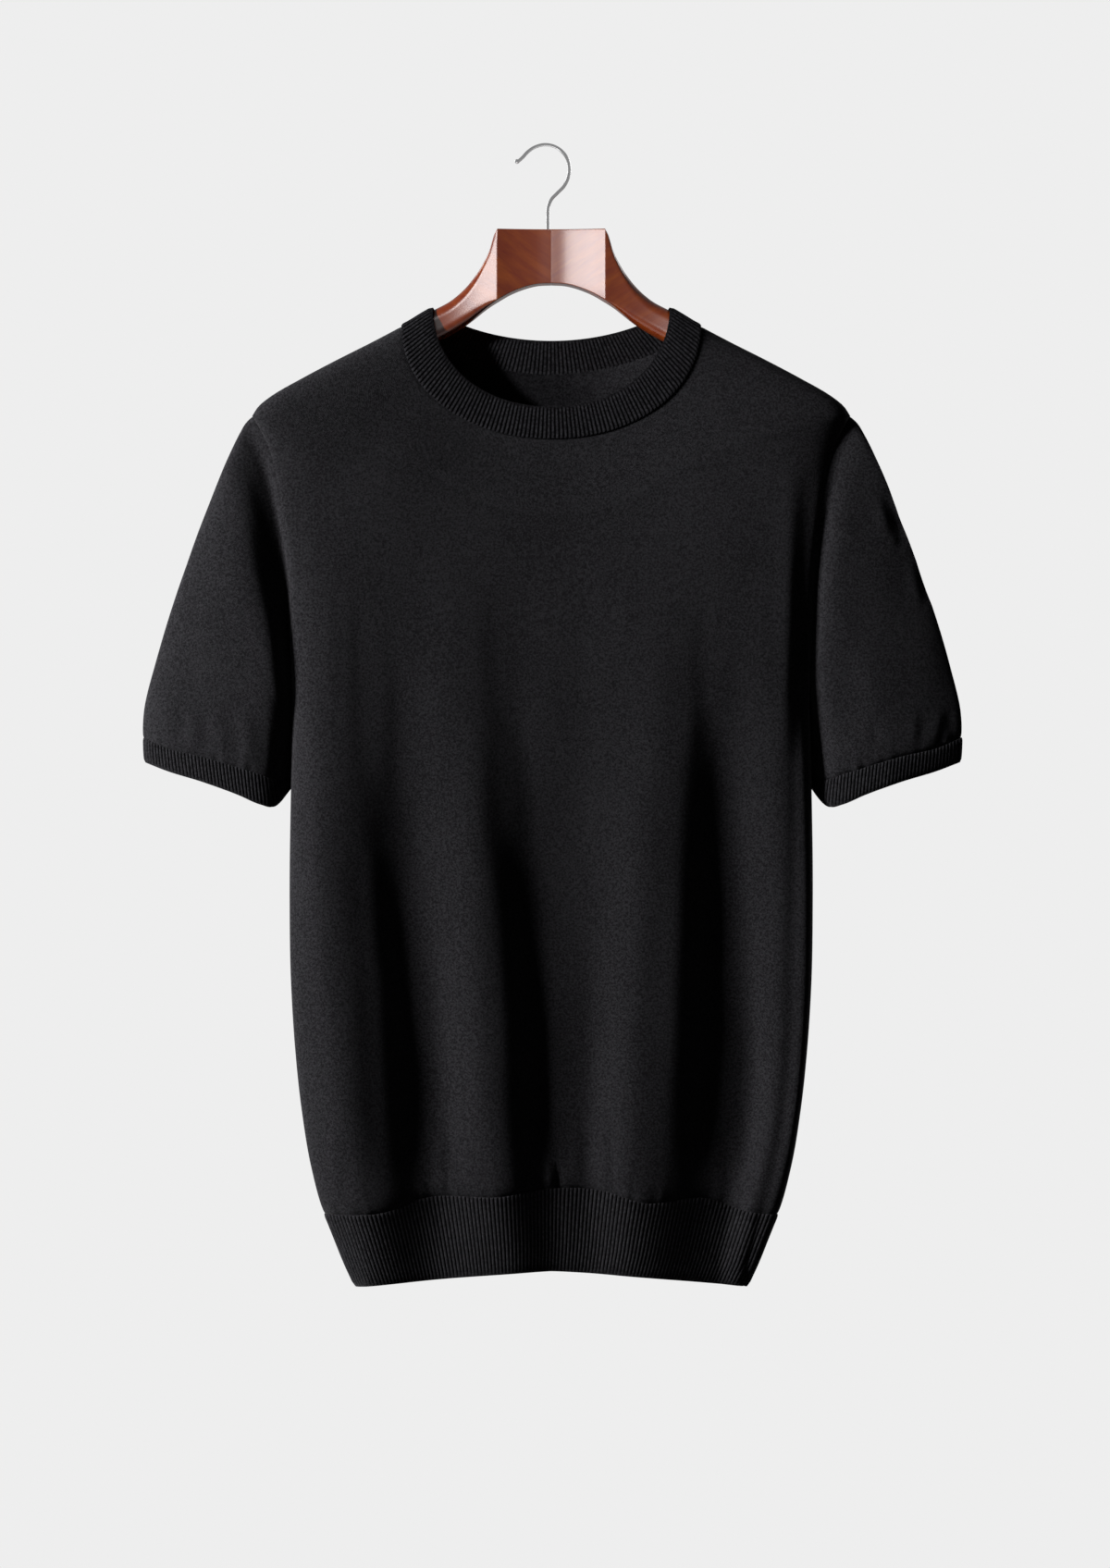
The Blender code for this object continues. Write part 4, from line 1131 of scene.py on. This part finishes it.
def placed_group(graph, tree, **inputs):
    node = graph.tree.nodes.new("ShaderNodeGroup")
    node.node_tree = tree
    for name, value in inputs.items():
        graph.put(node.inputs[name], value)
    return node.outputs


def knit_material(name, dark, light, wale, course, stitch_depth, groove=0.0):
    """Matt heathered knit. A groove above nought paints shade into the valleys between ribs by that share, and paints
    light on their crests and a highlight on the bead by the seam.
    """
    made, graph, shader = new_material(name)
    where = graph.node("ShaderNodeTexCoord").outputs["Object"]
    place = graph.node("ShaderNodeAttribute", {"attribute_name": "stitch_place"}).outputs["Vector"]
    yarn = placed_group(graph, HEATHER, Vector=where, Amount=6.5)
    loops = placed_group(graph, STITCHES, Place=place, Wale=wale, Course=course)["Height"]
    colour = graph.mixed(yarn["Shade"], dark, light)
    tinted = graph.mixed(yarn["Tint"], (0.90, 0.96, 0.97, 1), (1.08, 1.02, 1.10, 1))
    toned = graph.node("ShaderNodeMix", {"data_type": "RGBA", "blend_type": "MULTIPLY"})
    graph.put(toned.inputs[0], 1.0)
    graph.put(toned.inputs[6], colour)
    graph.put(toned.inputs[7], tinted)
    graph.put(shader.inputs["Base Color"], with_painted_rib_light_and_shade(graph, toned.outputs[2], groove) if groove else toned.outputs[2])
    fuzz = graph.node("ShaderNodeBump", Strength=0.5, Distance=0.0004, Height=yarn["Fuzz"]).outputs[0]
    bump = graph.node("ShaderNodeBump", Strength=0.5, Distance=stitch_depth, Height=loops, Normal=fuzz).outputs[0]
    graph.put(shader.inputs["Normal"], bump)
    shader.inputs["Roughness"].default_value = 0.95
    shader.inputs["Specular IOR Level"].default_value = 0.05
    shader.inputs["Sheen Weight"].default_value = 0.06
    shader.inputs["Sheen Roughness"].default_value = 0.35
    return made


def with_painted_rib_light_and_shade(graph, colour, groove):
    """The yarn's colour with painted shade in the valleys between ribs, painted light on their crests, and a painted
    highlight on the bead at each rib's end.
    """
    fact = lambda name: graph.node("ShaderNodeAttribute", {"attribute_name": name}).outputs["Fac"]
    # Painted light on each rib's crest and painted shade in the valley between ribs.
    crest = graph.maths("SINE", graph.maths("MULTIPLY", graph.maths("FRACT", fact("rib_place")), math.pi))
    crest = graph.maths("POWER", crest, 1.6)
    level = graph.maths("ADD", graph.maths("MULTIPLY", crest, PAINTED_CREST_LIGHT), 1 - groove)
    level = graph.mixed(fact("rib_share"), (1, 1, 1, 1), level)
    # Painted highlight on the bead by the seam, fading away from it.
    near = graph.maths("EXPONENT", graph.maths("MULTIPLY", fact("from_seam"), -1 / PAINTED_BEAD_HIGHLIGHT_REACH))
    level = graph.mixed(graph.maths("MULTIPLY", near, PAINTED_BEAD_HIGHLIGHT), level, (2.2, 2.2, 2.2, 1))
    toned = graph.node("ShaderNodeMix", {"data_type": "RGBA", "blend_type": "MULTIPLY"})
    graph.put(toned.inputs[0], 1.0)
    graph.put(toned.inputs[6], colour)
    graph.put(toned.inputs[7], level)
    return toned.outputs[2]


def wood_material(name, hand):
    """Red-brown stained beech under a gloss varnish, its grain running down the arm."""
    made, graph, shader = new_material(name)
    where = graph.node("ShaderNodeTexCoord").outputs["Object"]
    lean = math.radians(33) * hand
    along = graph.mapped(where, (1, 1, 1), (0, lean, 0))
    streaks = graph.noise(graph.mapped(along, (18, 160, 160)), 1.0, 4.0, 0.6)
    pores = graph.noise(graph.mapped(along, (120, 900, 900)), 1.0, 3.0, 0.7)
    clouds = graph.noise(where, 34.0, 2.0, 0.5)
    ramp = graph.node("ShaderNodeValToRGB", Fac=streaks)
    ramp.color_ramp.elements[0].position = 0.30
    ramp.color_ramp.elements[0].color = (0.290, 0.032, 0.006, 1)
    ramp.color_ramp.elements[1].position = 0.72
    ramp.color_ramp.elements[1].color = (0.700, 0.165, 0.012, 1)
    cloudy = graph.mixed(graph.maths("MULTIPLY", clouds, 0.9), (0.300, 0.036, 0.008, 1), ramp.outputs[0])
    speckled = graph.mixed(graph.maths("MULTIPLY", pores, 0.35), cloudy, (0.100, 0.015, 0.006, 1))
    graph.put(shader.inputs["Base Color"], speckled)
    relief = graph.node("ShaderNodeBump", Strength=0.25, Distance=0.0002, Height=streaks).outputs[0]
    graph.put(shader.inputs["Normal"], relief)
    shader.inputs["Roughness"].default_value = 0.42
    shader.inputs["Specular IOR Level"].default_value = 0.08
    shader.inputs["Coat Weight"].default_value = 0.90
    shader.inputs["Coat Roughness"].default_value = 0.23
    return made


def steel_material(name):
    made, graph, shader = new_material(name)
    where = graph.node("ShaderNodeTexCoord").outputs["Object"]
    brushed = graph.noise(graph.mapped(where, (400, 400, 60)), 1.0, 3.0, 0.6)
    graph.put(shader.inputs["Base Color"], graph.mixed(brushed, (0.70, 0.70, 0.71, 1), (0.80, 0.80, 0.80, 1)))
    graph.put(shader.inputs["Roughness"], graph.maths("ADD", graph.maths("MULTIPLY", brushed, 0.10), 0.24))
    shader.inputs["Metallic"].default_value = 1.0
    return made


# ---- the hanger ----


def seat_drop(x):
    """Drop of the arm's top where it bears under the shoulder's wall."""
    drops = np.linspace(SHOULDER_LINE["drop"][0], SHOULDER_DROP, FINE)
    ridge = np.interp(x, edge_x(drops), drops)
    slope = np.interp(x, edge_x(drops), np.gradient(drops, edge_x(drops)))
    return ridge + (CLOTH + ARM_SEAT_GAP) * math.sqrt(1 + slope**2)


def arm_size(rows, column, x):
    """One size of the arm at a place along it, from curves that meet at the crease beside the block."""
    knots = rows["x"]
    run = knots <= CREASE_X if x <= CREASE_X else knots >= CREASE_X
    return float(smooth(x, knots[run], rows[column][run]))


def arm_ring(x, hand, tip_fall):
    """An upright section of a hanger half: a box with its four corners rounded."""
    top = tip_fall + (arm_size(ARM_TOP, "drop", x) if x <= ARM_NECK_X else seat_drop(x))
    bottom, front, back, corner = (
        arm_size(ARM_SECTIONS, name, x) for name in ("bottom", "front", "back", "corner")
    )
    middle_y = float(sweep(x, top))
    corners = []
    for quarter, (side_y, side_drop) in enumerate(
        [(-front, top), (back, top), (back, bottom), (-front, bottom)]
    ):
        centre_y = side_y - math.copysign(corner, side_y)
        centre_drop = side_drop + math.copysign(corner, (top + bottom) / 2 - side_drop)
        turns = np.linspace(0, math.pi / 2, ARM_CORNER_STEPS + 1)
        turns = turns if quarter % 2 == 0 else turns[::-1]
        y = centre_y + (side_y - centre_y) * np.cos(turns)
        drop = centre_drop + (side_drop - centre_drop) * np.sin(turns)
        corners.append(np.stack([hand * x + 0 * y, middle_y + y, -drop], axis=1))
    ring = []
    for k, points in enumerate(corners):
        following = corners[(k + 1) % 4][0]
        shares = np.linspace(0, 1, ARM_FACE_STEPS + 1)[1:-1, None]
        ring += [points, points[-1] + (following - points[-1]) * shares]
    return np.concatenate(ring)


def tube(name, rings):
    """A closed piece through rings that hold the same number of points."""
    rings = np.array(rings)
    count, sides = rings.shape[:2]
    quads = loop_faces(count, sides, True)[: (count - 1) * sides]
    ends = [tuple(range(sides))[::-1], tuple(range((count - 1) * sides, count * sides))]
    return add_mesh(name, rings, quads, ends)


def hanger_arm(name, hand, finish):
    stations = np.arange(GLUE_GAP / 2, ARM_SECTIONS["x"][-1], ARM_STEP)
    stations = np.union1d(stations, ARM_SECTIONS["x"][1:])
    along_tip = np.clip((stations - ARM_TIP_X) / (stations[-1] - ARM_TIP_X), 0, 1)
    rings = [arm_ring(x, hand, ARM_TIP_DROP * share**2) for x, share in zip(stations, along_tip)]
    arm = tube(name, rings)
    arm.data.materials.append(finish)
    arm.data.shade_smooth()
    arm.data.set_sharp_from_angle(angle=math.radians(28))
    return arm


def bore(arm):
    """Bores the hole for the hook's stem from the top of the block."""
    top = ARM_TOP["drop"][0] - BORE_RUN_IN
    depth = BORE_FLOOR_DROP - top
    bpy.ops.mesh.primitive_cylinder_add(
        vertices=BORE_SIDES, radius=BORE_RADIUS, depth=depth, location=(STEM_X, 0, -top - depth / 2)
    )
    drill = bpy.context.object
    cut = arm.modifiers.new("bore", "BOOLEAN")
    cut.operation, cut.solver, cut.object = "DIFFERENCE", "EXACT", drill
    graph = bpy.context.evaluated_depsgraph_get()
    made = bpy.data.meshes.new_from_object(arm.evaluated_get(graph))
    arm.modifiers.clear()
    arm.data = made
    bpy.data.objects.remove(drill)
    made.set_sharp_from_angle(angle=math.radians(28))


def hook_ring(at, knots, radius):
    """A ring of the hook's wire at a place along its line, square to it."""
    ends = np.clip([at - WIRE_STEP / 20, at + WIRE_STEP / 20], 0, knots[-1])
    x, drop = (smooth(ends, knots, HOOK_LINE[name]) for name in ("x", "drop"))
    along = np.array([x[1] - x[0], drop[0] - drop[1]])
    along /= np.linalg.norm(along)
    turns = np.arange(WIRE_SIDES) * 2 * math.pi / WIRE_SIDES
    ring_x = x.mean() - CENTRE_X + radius * np.cos(turns) * along[1]
    ring_z = -drop.mean() - radius * np.cos(turns) * along[0]
    return np.stack([ring_x, radius * np.sin(turns), ring_z], axis=1)


def hook(name, finish):
    """A round wire along the hook's line, swelling into a ball at its tip."""
    steps = np.hypot(np.diff(HOOK_LINE["x"]), np.diff(HOOK_LINE["drop"]))
    knots = np.concatenate([[0], np.cumsum(steps)])
    ball_turns = np.linspace(*BALL_TURNS, BALL_RINGS)
    ball = BALL_RADIUS * (1 - np.cos(ball_turns))
    rings = [hook_ring(at, knots, BALL_RADIUS * math.sin(turn)) for at, turn in zip(ball, ball_turns)]
    wire = np.concatenate([np.arange(ball[-1] + WIRE_STEP, knots[-2], WIRE_STEP), knots[-2:]])
    rings += [hook_ring(at, knots, WIRE_RADIUS) for at in wire]
    piece = tube(name, rings)
    piece.data.materials.append(finish)
    piece.data.shade_smooth()
    piece.data.set_sharp_from_angle(angle=math.radians(50))
    return piece


# ---- making the pieces ----

KNIT = knit_material("black_knit", (0.0085, 0.0080, 0.0088, 1), (0.0245, 0.0240, 0.0255, 1), 0.0013, 0.0010, 0.0003)
RIB_KNIT = knit_material("black_rib", (0.0080, 0.0076, 0.0083, 1), (0.0230, 0.0225, 0.0240, 1), 0.00155, 0.0011, 0.0003)
# The neck rib's colour carries painted shade in its valleys, painted light on its crests and a painted highlight on its
# seam beads.
NECK_KNIT = knit_material("black_neck_rib", (0.0080, 0.0076, 0.0083, 1), (0.0230, 0.0225, 0.0240, 1), 0.00155, 0.0011, 0.0003, 0.9)
WOOD = {LEFT: wood_material("varnished_wood_left", LEFT), RIGHT: wood_material("varnished_wood_right", RIGHT)}
STEEL = steel_material("bright_wire")

bodies = {FRONT: body_panel(FRONT, CLOTH_STEP), BACK: body_panel(BACK, BACK_STEP)}
sleeves = {LEFT: sleeve_panel(LEFT), RIGHT: sleeve_panel(RIGHT)}
hems = {side: hem_panel(side) for side in (FRONT, BACK)}
cuffs = {hand: cuff_panel(sleeves[hand], hand) for hand in (LEFT, RIGHT)}
collar = collar_panel()
share_seam_normals([
    *bodies.values(),
    *sleeves.values(),
    collar[0],
    *(panel for panel, _ in hems.values()),
    *(panel for panel, _ in cuffs.values()),
])


def dress(piece, node):
    """Puts a piece on the frame in place of its plain solid."""
    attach(piece, "root")
    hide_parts(node)
    return piece


def dress_cloth(piece, panel, node):
    dress(piece, node)
    width, length = float(panel.along[:, -1].max()), float(panel.down[-1].max())
    area = min(panel.area() * (1 + 1 / panel.grid.shape[1] * panel.closed), width * length)


for node, side in (("front", FRONT), ("back", BACK)):
    dress_cloth(cloth_piece(node + "_panel", bodies[side], KNIT), bodies[side], node)
for node, hand in (("sleeve_left", LEFT), ("sleeve_right", RIGHT)):
    dress_cloth(cloth_piece(node + "_panel", sleeves[hand], KNIT), sleeves[hand], node)
for node, side in (("hem_rib_front", FRONT), ("hem_rib_back", BACK)):
    panel, ribs = hems[side]
    dress_cloth(rib_piece(node + "_band", panel, ribs, HEM_RIBS, RIB_KNIT), panel, node)
for node, hand in (("cuff_rib_left", LEFT), ("cuff_rib_right", RIGHT)):
    panel, ribs = cuffs[hand]
    dress_cloth(rib_piece(node + "_band", panel, ribs, CUFF_RIBS, RIB_KNIT), panel, node)
dress_cloth(rib_piece("neck_rib_band", *collar, COLLAR_RIBS, NECK_KNIT), collar[0], "neck_rib")

for node, hand in (("hanger_arm_left", LEFT), ("hanger_arm_right", RIGHT)):
    arm = hanger_arm(node + "_wood", hand, WOOD[hand])
    if hand == RIGHT:
        bore(arm)
    dress(arm, node)
dress(hook("hanger_hook_wire", STEEL), "hanger_hook")


# ---- floor, light and camera ----

FLOOR_DROP = 1.25
VIEW_DISTANCE = 3.8
VIEW_X = 0.0069
VIEW_DROP = 0.457
VIEW_HEIGHT = 1.1238
SENSOR = 0.036
BACKGROUND = 0.855
HANGER_ARMS = ["hanger_arm_left_wood", "hanger_arm_right_wood"]
HOOK_WIRE = ["hanger_hook_wire"]
NECK_INSIDE = ["back_panel", "neck_rib_band"]


def add_floor():
    bpy.ops.mesh.primitive_plane_add(size=1, location=(0, -0.15, -FLOOR_DROP))
    floor = bpy.context.object
    floor.name = "floor"
    floor.scale = (2.6, 2.3, 1)
    made, graph, shader = new_material("pale_floor")
    shader.inputs["Base Color"].default_value = (0.82, 0.82, 0.82, 1)
    shader.inputs["Roughness"].default_value = 0.7
    floor.data.materials.append(made)
    floor.visible_diffuse = False


def add_light(name, place, target, size, power, glossy=True, diffuse=True):
    data = bpy.data.lights.new(name, "AREA")
    data.shape = "RECTANGLE"
    data.size, data.size_y = size
    data.energy = power
    light = bpy.data.objects.new(name, data)
    light.location = place
    light.rotation_mode = "QUATERNION"
    light.rotation_quaternion = (Vector(target) - Vector(place)).to_track_quat("-Z", "Y")
    light.visible_glossy = glossy
    light.visible_diffuse = diffuse
    bpy.context.scene.collection.objects.link(light)
    return light


def light_only(light, names, state="INCLUDE"):
    """Keeps a light to these pieces, or off them."""
    pieces = bpy.data.collections.new(light.name + "_pieces")
    light.light_linking.receiver_collection = pieces
    for name in names:
        pieces.objects.link(bpy.data.objects[name])
    for entry in pieces.collection_objects:
        entry.light_linking.link_state = state


def set_world():
    world = bpy.data.worlds.new("studio")
    bpy.context.scene.world = world
    world.use_nodes = True
    graph = Graph(world.node_tree)
    background = world.node_tree.nodes["Background"]
    path = graph.node("ShaderNodeLightPath").outputs
    grey = lambda level: (level, level, level, 1)
    seen = graph.mixed(path["Is Glossy Ray"], grey(0.005), grey(0.30))
    seen = graph.mixed(path["Is Camera Ray"], seen, grey(BACKGROUND))
    graph.put(background.inputs["Color"], seen)


def add_camera():
    data = bpy.data.cameras.new("camera")
    data.sensor_fit = "VERTICAL"
    data.sensor_height = SENSOR * 1000
    data.lens = SENSOR * 1000 * VIEW_DISTANCE / VIEW_HEIGHT
    camera = bpy.data.objects.new("camera", data)
    camera.location = (VIEW_X, -VIEW_DISTANCE, -VIEW_DROP)
    camera.rotation_euler = (math.pi / 2, 0, 0)
    bpy.context.scene.collection.objects.link(camera)
    bpy.context.scene.camera = camera


add_floor()
key = add_light("key", (-2.95, -0.80, 0.70), (0, 0, -0.40), (0.6, 1.5), 280)
neck_light = add_light("neck_light", (-2.13, -1.55, 0.40), (0.02, 0.02, -0.16), (0.25, 0.25), 60, glossy=False)
wood_gloss = add_light("wood_gloss", (-1.0, -2.65, 0.25), (0, 0, -0.1), (1.2, 1.3), 96, diffuse=False)
light_only(wood_gloss, HANGER_ARMS)
light_only(neck_light, NECK_INSIDE + HANGER_ARMS)
light_only(key, ["neck_rib_band"] + HANGER_ARMS + HOOK_WIRE, "EXCLUDE")
add_light("back_left", (-2.2, 2.4, 0.5), (0, 0, -0.40), (1.2, 1.6), 26)
add_light("back_right", (2.4, 2.0, 0.6), (0, 0, -0.40), (1.2, 1.6), 26)
set_world()
add_camera()
bpy.context.scene.view_settings.view_transform = "Standard"
